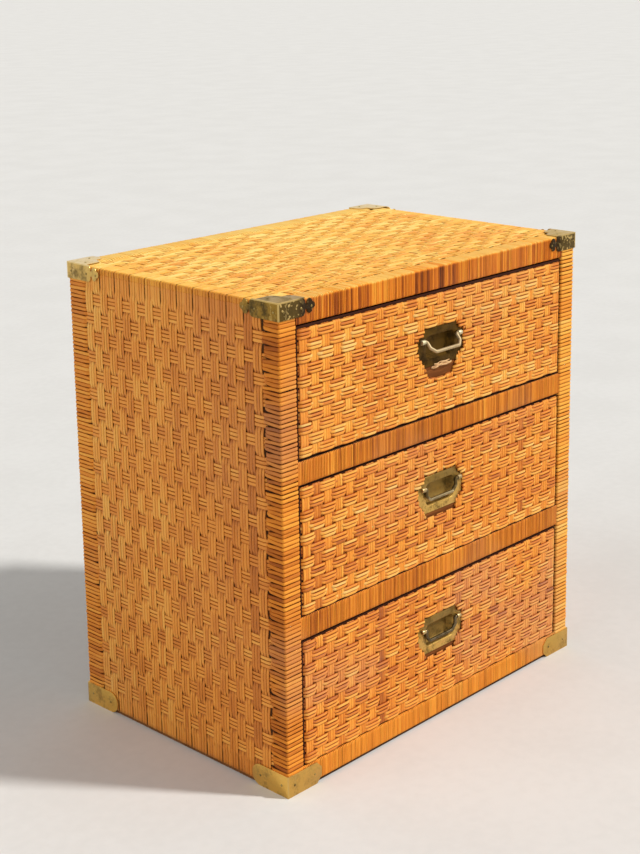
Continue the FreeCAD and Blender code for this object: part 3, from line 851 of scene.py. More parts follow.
@dataclass
class Strands:
    """A set of parallel strands in bands, laid flat: u along them, v across and w up."""

    # Number and size of the bands and of the strands in each
    length: float = 0.0
    segments: int = 1
    bands: int = 1
    pitch: float = 5.0 * MM
    strands: int = 1
    spacing: float = 5.0 * MM
    width: float = 5.0 * MM
    thickness: float = 1.5 * MM
    # The bands that are crossed, and the rise over and the dive under them
    crossings: int = -1
    cross_pitch: float = 1.0
    cross_offset: float = 0.0
    phase: int = 0
    low: float = 0.0
    high: float = 0.0
    plain: float = 0.5
    ease_from: float = 0.2
    ease_to: float = 0.75
    bow: float = 0.0
    stagger: float = 0.0
    pinch: float = 0.0
    crown: float = 0.0
    hem: float = 0.1 * MM
    edge_flat: float = 0.0
    slot: float = 0.0
    # Unevenness
    drift: float = 0.0
    wander: float = 0.3 * MM
    width_jitter: float = 0.08
    lift_jitter: float = 0.12 * MM
    ragged: float = 0.0
    stepped: float = 0.0
    seed: int = 1
    # Ends
    gather: float = 0.0
    gather_zone: float = 20.0 * MM
    tuck_start: float = 0.0
    tuck_end: float = 0.0
    tuck_zone: float = 6.0 * MM
    end_rings: int = 0
    end_length: float = 0.0
    # Tones, from 0 for dark to 1 for pale
    # seam scales the painted shade at the edges of each strand.
    seam: float = 1.0
    tone: float = 0.55
    tone_spread: float = 0.5
    tone_step: float = 0.0
    patches: float = 1.0
    slope: float = 0.0
    # A change of tone towards the ends; it paints shade on the posts' side faces and light on the top
    # face.
    end_tone: float = 0.0
    end_zone: float = 18.0 * MM
    end_only: int = 0
    marked_band: int = -1
    second_band: int = -1
    marked_tone: float = 0.1


class StrandTree(NodeTool):
    """The tree that lays a set of strands as tubes with tones.

    `given` starts with a wire for each input, and each step adds what it works out.
    """

    LAST_CROSSING = (0.35, 0.85)
    HEAVE = 1.5
    BAND_WEIGHT, ZONE_WEIGHT = 0.44, 0.56
    ZONE_SCALE, ZONE_RANGE = 16.0, (0.3, 0.7)
    MARK_SPREAD = 0.15
    TONE_BLUR = 2.5 * MM

    def __init__(self) -> None:
        """Build the tree with one input for each field of Strands."""
        kinds = {item.name: "Int" if item.type is int else "Float" for item in fields(Strands)}
        super().__init__("laid_strands", {**kinds, "material": "Material"})
        graph, its = self.graph, self.given
        points = graph.add("GeometryNodePoints", {"Count": its.bands * its.strands})
        tube = graph.add(
            "GeometryNodeMeshCylinder",
            {"Vertices": PROFILE_SIDES, "Side Segments": its.segments, "Radius": 1.0, "Depth": 1.0},
            fill_type="NGON",
        )
        laid = graph.add("GeometryNodeInstanceOnPoints", {"Points": points, "Instance": tube})
        laid = graph.add("GeometryNodeRealizeInstances", {"Geometry": laid})
        self.find()
        self.weave()
        place = self.place()
        # across and lift drive the painted shade of the cane finishes at the edges of strands and where
        # they dive.
        stored = {"tone": self.tone(), "along": its.u, "across": its.across * its.seam, "lift": its.lift}
        for name, wire in stored.items():
            laid = graph.add(
                "GeometryNodeStoreNamedAttribute", {"Geometry": laid, "Name": name, "Value": wire},
                data_type="FLOAT", domain="POINT",
            )
        laid = graph.add("GeometryNodeSetPosition", {"Geometry": laid, "Position": place})
        laid = graph.add("GeometryNodeSetShadeSmooth", {"Geometry": laid})
        graph.end(laid, its.material)

    def chance(self, item: Wire, salt: int) -> Wire:
        """Return a fixed random number from 0 to 1 for each item."""
        sockets = {2: 0.0, 3: 1.0, "ID": item, "Seed": self.given.seed * 17 + salt}
        return self.graph.add("FunctionNodeRandomValue", sockets, 1, data_type="FLOAT")

    def find(self) -> None:
        """Find the strand and the band of each point, and where along the strand it is."""
        graph, its = self.graph, self.given
        index = graph.add("GeometryNodeInputIndex")
        its.strand = graph.calc("FLOOR", (index + 0.5) / ((its.segments + 1) * PROFILE_SIDES))
        its.band = graph.calc("FLOOR", (its.strand + 0.5) / its.strands)
        its.within = its.strand - its.band * its.strands - (its.strands - 1) * 0.5
        its.from_middle = its.band - (its.bands - 1) * 0.5
        its.across, its.up, its.share = graph.split(graph.add("GeometryNodeInputPosition"))
        its.chances = [self.chance(its.strand, salt) for salt in range(4)]
        ring = (its.share + 0.5) * its.segments
        rest = its.segments - its.end_rings
        fine = graph.climb(ring, 0.0, its.end_rings) + graph.climb(ring, rest, its.segments)
        coarse = graph.climb(ring, its.end_rings, rest) - 0.5
        its.u = (fine - 1 - coarse * 2) * its.end_length + coarse * its.length
        its.to_end = its.length * 0.5 - abs(its.u)

    def weave(self) -> None:
        """Lift each strand over every second band that it crosses."""
        graph, its = self.graph, self.given
        passed = (its.u - its.cross_offset) / its.cross_pitch + (its.crossings - 1) * 0.5
        from_over = graph.calc("PINGPONG", passed + its.band + its.phase, 1.0)
        its.outside = graph.ease(graph.most(-passed, passed - its.crossings + 1), *self.LAST_CROSSING)
        woven = (1 - its.outside) * graph.ease(its.to_end, 0.0, its.hem)
        its.uneven = self.chance(its.strand * 61 + graph.calc("FLOOR", passed + 0.5), 6) - 0.5
        risen = 1 - from_over - abs(its.within) * its.bow + its.uneven * its.stagger
        lift = graph.ease(risen, its.ease_from, its.ease_to)
        rim = graph.calc("COMPARE", abs(its.from_middle), (its.bands - 1) * 0.5, 0.1)
        its.free = 1 - rim * its.edge_flat
        its.lift = its.plain + (lift - its.plain) * woven * its.free

    def place(self) -> Wire:
        """Find where each point goes, with strands that stray, part and tuck their ends in.

        Returns:
            The place along, across and over the flat.
        """
        graph, its = self.graph, self.given
        sway, heave, slow = (
            graph.noise(graph.join(its.u * pace, item * apart, its.seed * turn), detail=1.0) - 0.5
            for item, pace, apart, turn in (
                (its.strand, 30.0, 3.7, 1.3), (its.strand, 45.0, 5.3, 2.1), (its.band, 9.0, 4.1, 1.9),
            )
        )
        side = 1 - graph.calc("MODULO", its.band, 2.0) * 2
        from_start = its.length * 0.5 + its.u
        squeeze = its.pinch * (1 - its.lift)
        squeeze = squeeze + graph.ease(from_start, 0.0, its.gather_zone, its.gather, 0.0)
        stray = sway * its.wander + slow * its.drift
        its.v = its.from_middle * its.pitch + its.within * its.spacing * (1 - squeeze)
        its.v = its.v + stray * its.free * 2 + side * its.slot * its.outside
        half_width = its.width * 0.5 * (1 + (its.chances[0] - 0.5) * 2 * its.width_jitter)
        w = its.low + (its.high - its.low) * its.lift - abs(its.within) * its.crown
        w = w + (its.chances[1] - 0.5 + heave * self.HEAVE) * 2 * its.lift_jitter
        w = w - graph.ease(from_start, 0.0, its.tuck_zone, its.tuck_start, 0.0)
        w = w - graph.ease(its.length * 0.5 - its.u, 0.0, its.tuck_zone, its.tuck_end, 0.0)
        cut_back = its.chances[2] * its.ragged + (side + 1) * 0.5 * its.stepped
        short = graph.most(-its.share, 0.0) * 2 * cut_back
        return graph.join(its.u + short, its.v + its.across * half_width, w + its.up * its.thickness * 0.5)

    def tone(self) -> Wire:
        """Find how pale each point is: by strand, by band, by crossing and towards the ends.

        Returns:
            The tone, from 0 for dark to 1 for pale.
        """
        graph, its = self.graph, self.given
        zone = graph.noise(graph.join(its.v * self.ZONE_SCALE, its.seed * 3.1, 0.0))
        patch = (graph.ease(zone, *self.ZONE_RANGE) - 0.5) * self.ZONE_WEIGHT
        patch = patch + (self.chance(its.band, 5) - 0.5) * self.BAND_WEIGHT
        tone = its.tone + (its.chances[3] - 0.5 + patch * its.patches) * its.tone_spread
        tone = tone + its.uneven * its.tone_step * (1 - its.outside)
        tone = tone + its.slope * its.v / (its.bands * its.pitch)
        to_tip = its.to_end + abs(its.u * its.end_only) - its.u * its.end_only
        tone = tone + graph.ease(to_tip, its.end_zone - self.TONE_BLUR, its.end_zone, its.end_tone, 0.0)
        marked = graph.most(
            graph.calc("COMPARE", its.band, its.marked_band, 0.5),
            graph.calc("COMPARE", its.band, its.second_band, 0.5),
        )
        return tone + (its.marked_tone + its.chances[3] * self.MARK_SPREAD - tone) * marked

    def lay(self, strands: Strands, finish: Finish) -> bpy.types.Mesh:
        """Return a plain mesh of one set of strands, flat."""
        return self.run(material=finish.material(), **vars(strands))


@dataclass(frozen=True)
class Course:
    """The way of a strand: straight runs joined by quarter bends towards the wood.

    The middle of run number `face` is the course's own origin, and that run goes along the face.
    """

    runs: tuple[float, ...]
    bends: tuple[float, ...] = ()
    face: int = 0

    @property
    def length(self) -> float:
        """The length along the middle of a strand."""
        return sum(self.runs) + sum(self.bends) * math.pi / 2

    def lead(self, u: np.ndarray) -> tuple[np.ndarray, np.ndarray, np.ndarray]:
        """Find places along the course.

        Args:
            u: Distances from the middle of the course.

        Returns:
            Places along the face and out of it, and headings, for each distance.
        """
        u = u + self.length / 2
        along, out, heading = np.zeros_like(u), np.zeros_like(u), np.zeros_like(u)
        x, y, angle, begin = 0.0, 0.0, self.face * math.pi / 2, 0.0
        middle = (0.0, 0.0)
        for number, run in enumerate(self.runs):
            on = u >= begin if number else np.full(u.shape, True)
            way = u[on] - begin
            along[on], out[on] = x + way * math.cos(angle), y + way * math.sin(angle)
            heading[on] = angle
            if number == self.face:
                middle = (x + run / 2 * math.cos(angle), y + run / 2 * math.sin(angle))
            x, y, begin = x + run * math.cos(angle), y + run * math.sin(angle), begin + run
            if number < len(self.bends):
                radius = self.bends[number]
                hub = (x + radius * math.sin(angle), y - radius * math.cos(angle))
                on = u >= begin
                turned = angle - (u[on] - begin) / radius
                along[on] = hub[0] - radius * np.sin(turned)
                out[on] = hub[1] + radius * np.cos(turned)
                heading[on] = turned
                angle, begin = angle - math.pi / 2, begin + radius * math.pi / 2
                x, y = hub[0] - radius * math.sin(angle), hub[1] + radius * math.cos(angle)
        return along - middle[0], out - middle[1], heading


@dataclass(frozen=True)
class Ground:
    """A flat face of the chest that strands are led over."""

    origin: Vector
    along: Vector
    out: Vector

    @property
    def across(self) -> Vector:
        """The third direction, across the strands."""
        return self.out.cross(self.along)

    def cover(
        self, tree: StrandTree, strands: Strands, course: Course, finish: Finish
    ) -> bpy.types.Mesh:
        """Lay strands and lead them along a course over this face.

        Args:
            tree: The tree that lays them flat.
            strands: What to lay, which takes its length from the course.
            course: Their way.
            finish: Their finish.

        Returns:
            The strands, in place and over the floor.
        """
        strands.length = course.length
        mesh = tree.lay(strands, finish)
        flat = np.empty(len(mesh.vertices) * 3, np.float32)
        mesh.vertices.foreach_get("co", flat)
        u, v, w = flat.reshape(-1, 3).astype(float).T
        along, out, heading = course.lead(u)
        along, out = along - w * np.sin(heading), out + w * np.cos(heading)
        axes = (self.along, self.across, self.out)
        placed = np.array(self.origin) + sum(np.outer(c, a) for c, a in zip((along, v, out), axes))
        placed[:, 2] = np.maximum(placed[:, 2], 0.0)
        mesh.vertices.foreach_set("co", placed.astype(np.float32).ravel())
        mesh.update()
        return mesh


@dataclass
class Weave:
    """A plain weave of close bands that float over spaced ground bands and dive under them."""

    ground: Ground
    floats: Strands
    crossing: Strands
    float_course: Course
    cross_course: Course
    shift: float = 0.0
    trim: Optional[Callable[[bpy.types.Mesh, int], None]] = None

    def lay(self, tree: StrandTree, finish: Finish) -> bmesh.types.BMesh:
        """Weave both sets of strands over the face and return them as one mesh.

        Args:
            tree: The tree that lays them.
            finish: Their finish.

        Returns:
            Both sets, in place.
        """
        self.floats.crossings, self.crossing.crossings = self.crossing.bands, self.floats.bands
        self.floats.cross_pitch, self.crossing.cross_pitch = self.crossing.pitch, self.floats.pitch
        self.crossing.phase = self.floats.phase + self.crossing.bands
        self.floats.cross_offset = self.shift
        face = self.ground
        over = face.cover(tree, self.floats, self.float_course, finish)
        crosswise = replace(face, origin=face.origin + face.along * self.shift, along=face.across)
        across = crosswise.cover(tree, self.crossing, self.cross_course, finish)
        if self.trim is not None:
            self.trim(over, self.floats.segments)
            self.trim(across, self.crossing.segments)
        return merged((over, across))


@dataclass
class CaseSkin:
    """The woven sides and top of the case, whose strands run up one side and over the top."""

    tree: StrandTree
    float_pitch: float = 15.4 * MM
    cross_pitch: float = 26.6 * MM
    rows: int = 22
    top_rows: int = 21
    first_row: float = 43 * MM
    row_reach: float = 12 * MM
    top_row_reach: float = 14 * MM
    skin: float = 1.8 * MM
    edge: float = 1.6 * MM
    turn_down: float = 9.0 * MM
    overlap: float = 4.0 * MM
    tuck: float = 1.6 * MM
    floor_gap: float = 5.0 * MM
    side_tone: float = 0.55
    # The top is given a paler tone than the sides as painted light from above; turned_tone darkens the
    # ends turned down over the sides back towards the sides.
    top_tone: float = 0.78
    turned_tone: float = -0.28
    rear_border: float = 30.0 * MM
    rear_width: float = 552 * MM
    rear_pitch: float = 4.6 * MM
    rear_bend: float = 3.0 * MM
    rear_thickness: float = 1.5 * MM
    seed: int = 11

    def float_set(self, bands: int) -> Strands:
        """The close bands: three strands that float over one row and dive under the next.

        Args:
            bands: The number of bands.

        Returns:
            The bands for a side.
        """
        return Strands(
            segments=120, bands=bands, pitch=self.float_pitch, strands=3, spacing=5.13 * MM,
            width=5.2 * MM, thickness=1.1 * MM, low=-0.75 * MM, high=0.95 * MM, plain=0.62,
            ease_from=0.20, ease_to=0.56, bow=0.03, stagger=0.10, slot=0.7 * MM, drift=0.5 * MM,
            wander=0.25 * MM, width_jitter=0.07, seam=0.50, seed=self.seed, tone=self.side_tone,
            tone_spread=0.13, tone_step=0.16, slope=0.19,
        )

    def cross_set(self, rows: int, seed: int) -> Strands:
        """The spaced rows of three strands.

        Args:
            rows: The number of rows.
            seed: Seed of their chances.

        Returns:
            The rows for a side.
        """
        return Strands(
            segments=110, bands=rows, pitch=self.cross_pitch, strands=3, spacing=5.2 * MM,
            width=5.0 * MM, thickness=1.3 * MM, low=-0.3 * MM, high=0.3 * MM, ease_from=0.15,
            ease_to=0.85, drift=0.5 * MM, wander=0.25 * MM, tuck_start=1.6 * MM, tuck_end=1.6 * MM,
            tuck_zone=9 * MM, seed=seed, tone=0.54, tone_spread=0.17,
        )

    def build_side(self, hand: Hand) -> None:
        """Weave one side, from the floor to the turn of the top's strands.

        Args:
            hand: The side.
        """
        node = hand.value + "_side_weave"
        low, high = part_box(node)
        top = high.z + self.skin - self.turn_down + self.overlap
        middle_z = (top + self.floor_gap) / 2
        floats = self.float_set(round((high.y - low.y) / self.float_pitch))
        if hand is Hand.LEFT:
            out, rise, face_x = -X, Z, -low.x - self.skin
            rows = self.cross_set(self.rows, self.seed + 1)
            floats.tuck_end = self.tuck
            floats.marked_band, floats.marked_tone = 1, 0.24
        else:
            out, rise, face_x = X, -Z, high.x - self.skin
            rows = self.cross_set(self.rows, self.seed + 2)
            floats.tuck_start = self.tuck
        ground = Ground(Vector((out.x * face_x, (low.y + high.y) / 2, middle_z)), rise, out)
        rows_middle = high.z - self.first_row - (self.rows - 1) / 2 * self.cross_pitch
        courses = Course((top - self.floor_gap,)), Course((high.y - low.y + self.row_reach,))
        weave = Weave(ground, floats, rows, *courses, shift=(rows_middle - middle_z) * rise.z)
        mesh = weave.lay(self.tree, WOVEN_CANE)
        add_piece(node + "_cane", mesh, WOVEN_CANE, "case", [node])

    def build_top(self) -> None:
        """Weave the top, turn its strands down at both sides and bind its rear edge."""
        low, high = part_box("top_weave")
        side_low, side_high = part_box("left_side_weave")
        face_z = high.z - self.skin
        ground = Ground(Vector((0, (side_low.y + side_high.y) / 2, face_z)), X, Z)
        floats = replace(
            self.float_set(round((side_high.y - side_low.y) / self.float_pitch)),
            segments=124, end_rings=6, end_length=10 * MM, low=-0.62 * MM, high=0.62 * MM, seam=0.66,
            tone=self.top_tone, tone_step=0.40, slope=0.10, end_tone=self.turned_tone,
            end_zone=9.3 * MM,
        )
        # The top's rows are paler than the sides' rows too, as painted light from above.
        rows = replace(self.cross_set(self.top_rows, self.seed + 5), segments=100, tone=0.76)
        down = face_z - self.edge - (side_high.z + self.skin - self.turn_down)
        flat = 2 * (high.x - self.skin - self.edge)
        weave = Weave(
            ground, floats, rows,
            Course((down, flat, down), (self.edge, self.edge), face=1),
            Course((high.y - low.y - 2 * self.rear_border + self.top_row_reach,)),
        )
        whole = weave.lay(self.tree, TOP_CANE)
        binding = self.rear_binding(low, high)
        whole.from_mesh(binding)
        bpy.data.meshes.remove(binding)
        add_piece("top_weave_cane", whole, TOP_CANE, "case", ["top_weave"])

    def rear_binding(self, low: Vector, high: Vector) -> bpy.types.Mesh:
        """Lay strands that run up the rear edge and over it on to the top.

        Args:
            low: The lower corner of the top weave's box.
            high: The upper one.

        Returns:
            The strands, in place.
        """
        inset = self.rear_thickness / 2
        rise = high.z - inset - self.rear_bend - low.z
        strands = Strands(
            segments=12, bands=round(self.rear_width / self.rear_pitch), pitch=self.rear_pitch,
            spacing=self.rear_pitch, width=4.5 * MM, thickness=self.rear_thickness, wander=0.2 * MM,
            width_jitter=0.15, tuck_end=2.0 * MM, seam=0.6, seed=self.seed + 8, tone=0.90,
            tone_spread=0.12,
        )
        ground = Ground(Vector((0, high.y - inset, low.z + rise / 2)), Z, Y)
        course = Course((rise, self.rear_border), (self.rear_bend,))
        return ground.cover(self.tree, strands, course, TOP_CANE)


@dataclass
class WoundPosts:
    """Cane wound round the four posts, its ends tucked under the side weave."""

    tree: StrandTree
    pitch: float = 5.6 * MM
    width: float = 5.4 * MM
    thickness: float = 2.0 * MM
    outer_bend: float = 2.2 * MM
    inner_bend: float = 1.6 * MM
    inner_run: float = 9.0 * MM
    rear_inner_run: float = 0.5 * MM
    under_weave: float = 3.0 * MM
    ragged: float = 2.5 * MM

    def build(self, end: End, hand: Hand, tone: float, seed: int) -> None:
        """Wind one post.

        Args:
            end: Whether it stands at the front or the rear.
            hand: Its side.
            tone: How pale the cane is.
            seed: Seed of its chances.
        """
        node = "%s_%s_post_wrap" % (end.value, hand.value)
        low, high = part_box(node)
        inset = self.thickness / 2
        toward_middle, outer_x = (X, low.x) if hand is Hand.LEFT else (-X, high.x)
        bends = (self.outer_bend - inset, self.inner_bend)
        face_run = high.x - low.x - 2 * inset - sum(bends)
        side_run = high.y - low.y - self.outer_bend + self.under_weave
        # The side run of each post is painted darker by end_tone, as painted shade on its side face, less
        # at the rear.
        if end is End.FRONT:
            out, face_y, inner_run, finish = -Y, low.y, self.inner_run, WOUND_CANE
            gather, end_tone = 0.2, -0.15
        else:
            out, face_y, inner_run, finish = Y, high.y, self.rear_inner_run, PALE_WOUND_CANE
            gather, end_tone = 0.07, -0.08
        start_x = outer_x + toward_middle.x * (inset + bends[0] + face_run / 2)
        ground = Ground(
            Vector((start_x, face_y - out.y * inset, (low.z + high.z) / 2)), toward_middle, out
        )
        groups = round((high.z - low.z) / self.pitch / 3)
        pitch = (high.z - low.z) / groups
        strands = Strands(
            segments=56, bands=groups, pitch=pitch, strands=3, spacing=pitch / 3, width=self.width,
            thickness=self.thickness, wander=0.6 * MM, width_jitter=0.12, lift_jitter=0.2 * MM,
            plain=1.0, ragged=self.ragged, stepped=4 * MM, gather=gather, gather_zone=22 * MM,
            tuck_start=2.2 * MM, seed=seed, tone=tone, tone_spread=0.28, patches=0.35,
            end_tone=end_tone, end_zone=side_run + 1 * MM, end_only=-1,
        )
        course = Course((side_run, face_run, inner_run), bends, face=1)
        mesh = ground.cover(self.tree, strands, course, finish)
        add_piece(node + "_cane", mesh, finish, "case", [node])


@dataclass
class WoundRails:
    """Fine cane wound upright round the four front rails."""

    tree: StrandTree
    pitch: float = 2.8 * MM
    thickness: float = 1.2 * MM
    set_back: float = 1.2 * MM
    bend: float = 2.0 * MM
    inner_run: float = 9.0 * MM
    top_run: float = 27.0 * MM
    floor_gap: float = 5.0 * MM

    def build(self, rail: str, tone: float, spread: float, seed: int) -> None:
        """Wind one rail.

        Args:
            rail: The rail's node.
            tone: How pale the cane is.
            spread: How much its strands differ.
            seed: Seed of its chances.
        """
        node = rail + "_wrap"
        low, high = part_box(node)
        inset = self.thickness / 2
        on_floor, at_top = rail == "bottom_rail", rail == "top_rail"
        top_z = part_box("top_weave")[1].z if at_top else high.z
        foot = self.floor_gap if on_floor else self.bend + inset
        face_run = top_z - low.z - inset - self.bend - foot
        set_back = 0.0 if at_top or on_floor else self.set_back
        ground = Ground(Vector((0, low.y + inset + set_back, low.z + foot + face_run / 2)), Z, -Y)
        strands = Strands(
            segments=18, bands=round((high.x - low.x) / self.pitch), pitch=self.pitch, spacing=0.0,
            width=self.pitch, thickness=self.thickness, wander=0.25 * MM, width_jitter=0.2,
            lift_jitter=0.1 * MM, plain=1.0, seam=0.72, seed=seed, tone=tone, tone_spread=spread,
        )
        course = Course((self.inner_run, face_run, self.inner_run), (self.bend, self.bend), face=1)
        finish = WOUND_CANE
        if on_floor:
            course = Course((face_run, self.inner_run), (self.bend,))
        # On the top face the top rail's strands are painted paler by end_tone, as painted light from
        # above.
        if at_top:
            course = replace(course, runs=(self.inner_run, face_run, self.top_run))
            strands = replace(
                strands, segments=46, tuck_end=1.8 * MM, patches=1.8, end_tone=0.56, end_zone=31 * MM,
                end_only=1,
            )
            finish = RED_CANE
        mesh = ground.cover(self.tree, strands, course, finish)
        add_piece(node + "_cane", mesh, finish, "case", [node])


@dataclass
class DrawerFront:
    """The woven face of one drawer, cut away round its pull."""

    tree: StrandTree
    name: str
    tone: float
    seed: int
    bare_drop: float
    bare_top: float = 34 * MM
    bare_foot: float = 30 * MM
    top_gap: float = 0.0
    marks: tuple[int, int] = (-1, -1)
    mark_tone: float = 0.25
    finish: CaneFinish = FRONT_CANE
    side_gap: float = 2.0 * MM
    bottom_reach: float = 1.1 * MM
    rows: int = 11
    columns: int = 27
    skin: float = 1.4 * MM
    half_thick: float = 0.8 * MM
    edge: float = 2.4 * MM
    low_edge: float = 1.2 * MM
    return_run: float = 6.0 * MM
    plate_margin: float = 0.9 * MM
    plate_notch: float = 12.0 * MM
    cut_steps: int = 7

    def float_set(self, height: float) -> Strands:
        """The rows of three thick strands that bulge between the columns.

        Args:
            height: The height that they fill.

        Returns:
            The rows.
        """
        return Strands(
            segments=162, bands=self.rows, pitch=height / self.rows, strands=3, spacing=4.9 * MM,
            width=4.85 * MM, thickness=2.9 * MM, low=-1.3 * MM, high=1.6 * MM, plain=0.42,
            ease_from=0.08, ease_to=0.60, bow=0.06, stagger=0.12, pinch=0.24, crown=0.35 * MM,
            hem=14 * MM, edge_flat=0.35, drift=0.6 * MM, wander=0.25 * MM, width_jitter=0.10,
            lift_jitter=0.15 * MM, seed=self.seed, tone=self.tone, tone_spread=0.23, tone_step=0.40,
        )

    def column_set(self, width: float) -> Strands:
        """The upright columns of three flat strands, two of them darker.

        Args:
            width: The width that they fill.

        Returns:
            The columns.
        """
        first, second = (self.columns - 1 - mark for mark in self.marks)
        return Strands(
            segments=70, bands=self.columns, pitch=width / self.columns, strands=3, spacing=4.4 * MM,
            width=5.2 * MM, thickness=0.9 * MM, low=-0.4 * MM, high=0.35 * MM, ease_from=0.15,
            ease_to=0.85, hem=6 * MM, drift=0.5 * MM, wander=0.2 * MM, seam=0.36, seed=self.seed + 40,
            tone=self.tone - 0.03, tone_spread=0.22, marked_band=first, second_band=second,
            marked_tone=self.mark_tone,
        )

    def build(self) -> None:
        """Weave the face and cut it."""
        node = self.name + "_drawer_front_weave"
        low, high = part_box(node)
        low.z -= self.bottom_reach
        width, height = high.x - low.x, high.z - low.z - self.top_gap
        inner_x = width - 2 * self.half_thick - 2 * self.side_gap
        inner_z = height - 2 * self.half_thick
        courses = [
            Course((self.return_run, size - 2 * edge, self.return_run), (edge, edge), face=1)
            for size, edge in ((inner_x, self.edge), (inner_z, self.low_edge))
        ]
        ground = Ground(Vector((0, low.y + self.skin, low.z + height / 2)), X, -Y)
        sets = self.float_set(height), self.column_set(width)
        whole = Weave(ground, *sets, *courses, trim=self.trim).lay(self.tree, self.finish)
        add_piece(node + "_cane", whole, self.finish, self.name + "_drawer", [node])

    def trim(self, mesh: bpy.types.Mesh, segments: int) -> None:
        """Cut strands back to the outline of the pull plate and the bare wood, and close their ends.

        Args:
            mesh: The strands, in place.
            segments: Segments of each strand.
        """
        low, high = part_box(self.name + "_drawer_pull_plate")
        half_x, half_z, middle_z = high.x, (high.z - low.z) / 2, (low.z + high.z) / 2
        places = np.empty(len(mesh.vertices) * 3, np.float32)
        mesh.vertices.foreach_get("co", places)
        rings = places.reshape(-1, PROFILE_SIDES, 3)
        centres = rings.mean(axis=1) - (0, 0, middle_z)

        def bare(place: np.ndarray) -> bool:
            """Tell whether a place has no cane over it."""
            reach = self.reach(place[2], half_x, half_z)
            return reach is not None and abs(place[0]) < reach

        gone = np.array([bare(centre) for centre in centres])
        strand = np.arange(len(centres)) // (segments + 1)
        for first, last in zip(range(len(centres) - 1), range(1, len(centres))):
            if gone[first] == gone[last] or strand[first] != strand[last]:
                continue
            kept, cut = (first, last) if gone[last] else (last, first)
            near, far = centres[kept].copy(), centres[cut].copy()
            for _ in range(self.cut_steps):
                half = (near + far) / 2
                near, far = (near, half) if bare(half) else (half, far)
            rings[kept] += (near - centres[kept]).astype(np.float32)
        mesh.vertices.foreach_set("co", rings.ravel())
        shape = bmesh.new()
        shape.from_mesh(mesh)
        doomed = [v for v in shape.verts if gone[v.index // PROFILE_SIDES]]
        bmesh.ops.delete(shape, geom=doomed, context="VERTS")
        open_edges = [e for e in shape.edges if len(e.link_faces) == 1]
        bmesh.ops.holes_fill(shape, edges=open_edges, sides=PROFILE_SIDES)
        shape.to_mesh(mesh)
        shape.free()

    def reach(self, z: float, half_x: float, half_z: float) -> Optional[float]:
        """Find how far from the middle of the plate there is no cane.

        Args:
            z: The height over the middle of the plate.
            half_x: Half of the plate's width.
            half_z: Half of the plate's height.

        Returns:
            The distance to either side, or None.
        """
        notch = self.plate_notch - self.plate_margin
        if -half_z - self.bare_drop < z < -half_z:
            share = (-half_z - z) / self.bare_drop
            return self.bare_top + (self.bare_foot - self.bare_top) * share
        if abs(z) > half_z + self.plate_margin:
            return None
        depth = half_z - abs(z)
        if depth < notch:
            return half_x - math.sqrt(notch ** 2 - max(depth, 0.0) ** 2)
        return half_x + self.plate_margin


@dataclass
class LooseCane:
    """A torn length of cane that lies over the bare wood under the upper pull."""

    tree: StrandTree
    length: float = 46 * MM
    rise: float = 2.2 * MM
    aside: float = 2.0 * MM
    over_wood: float = 0.5 * MM
    below_plate: float = 1.0 * MM

    def build(self) -> None:
        """Lay three crossing slivers along the lower edge of the plate."""
        plate_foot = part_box("upper_drawer_pull_plate")[0].z
        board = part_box("upper_drawer_front_board")[0].y
        slivers = Strands(
            segments=28, bands=3, pitch=2.3 * MM, spacing=0.0, width=2.7 * MM, thickness=0.9 * MM,
            crossings=4, cross_pitch=11 * MM, low=-0.5 * MM, high=0.6 * MM, ease_from=0.0, ease_to=1.0,
            wander=4.5 * MM, width_jitter=0.3, ragged=9 * MM, tuck_start=self.rise,
            tuck_end=self.rise, tuck_zone=10 * MM, seam=0.8, tone=0.75, tone_spread=0.5, seed=71,
        )
        origin = Vector((self.aside, board - self.rise - self.over_wood, plate_foot - self.below_plate))
        mesh = Ground(origin, X, -Y).cover(self.tree, slivers, Course((self.length,)), FRAYED_CANE)
        add_piece("upper_drawer_loose_cane", mesh, FRAYED_CANE, "upper_drawer")


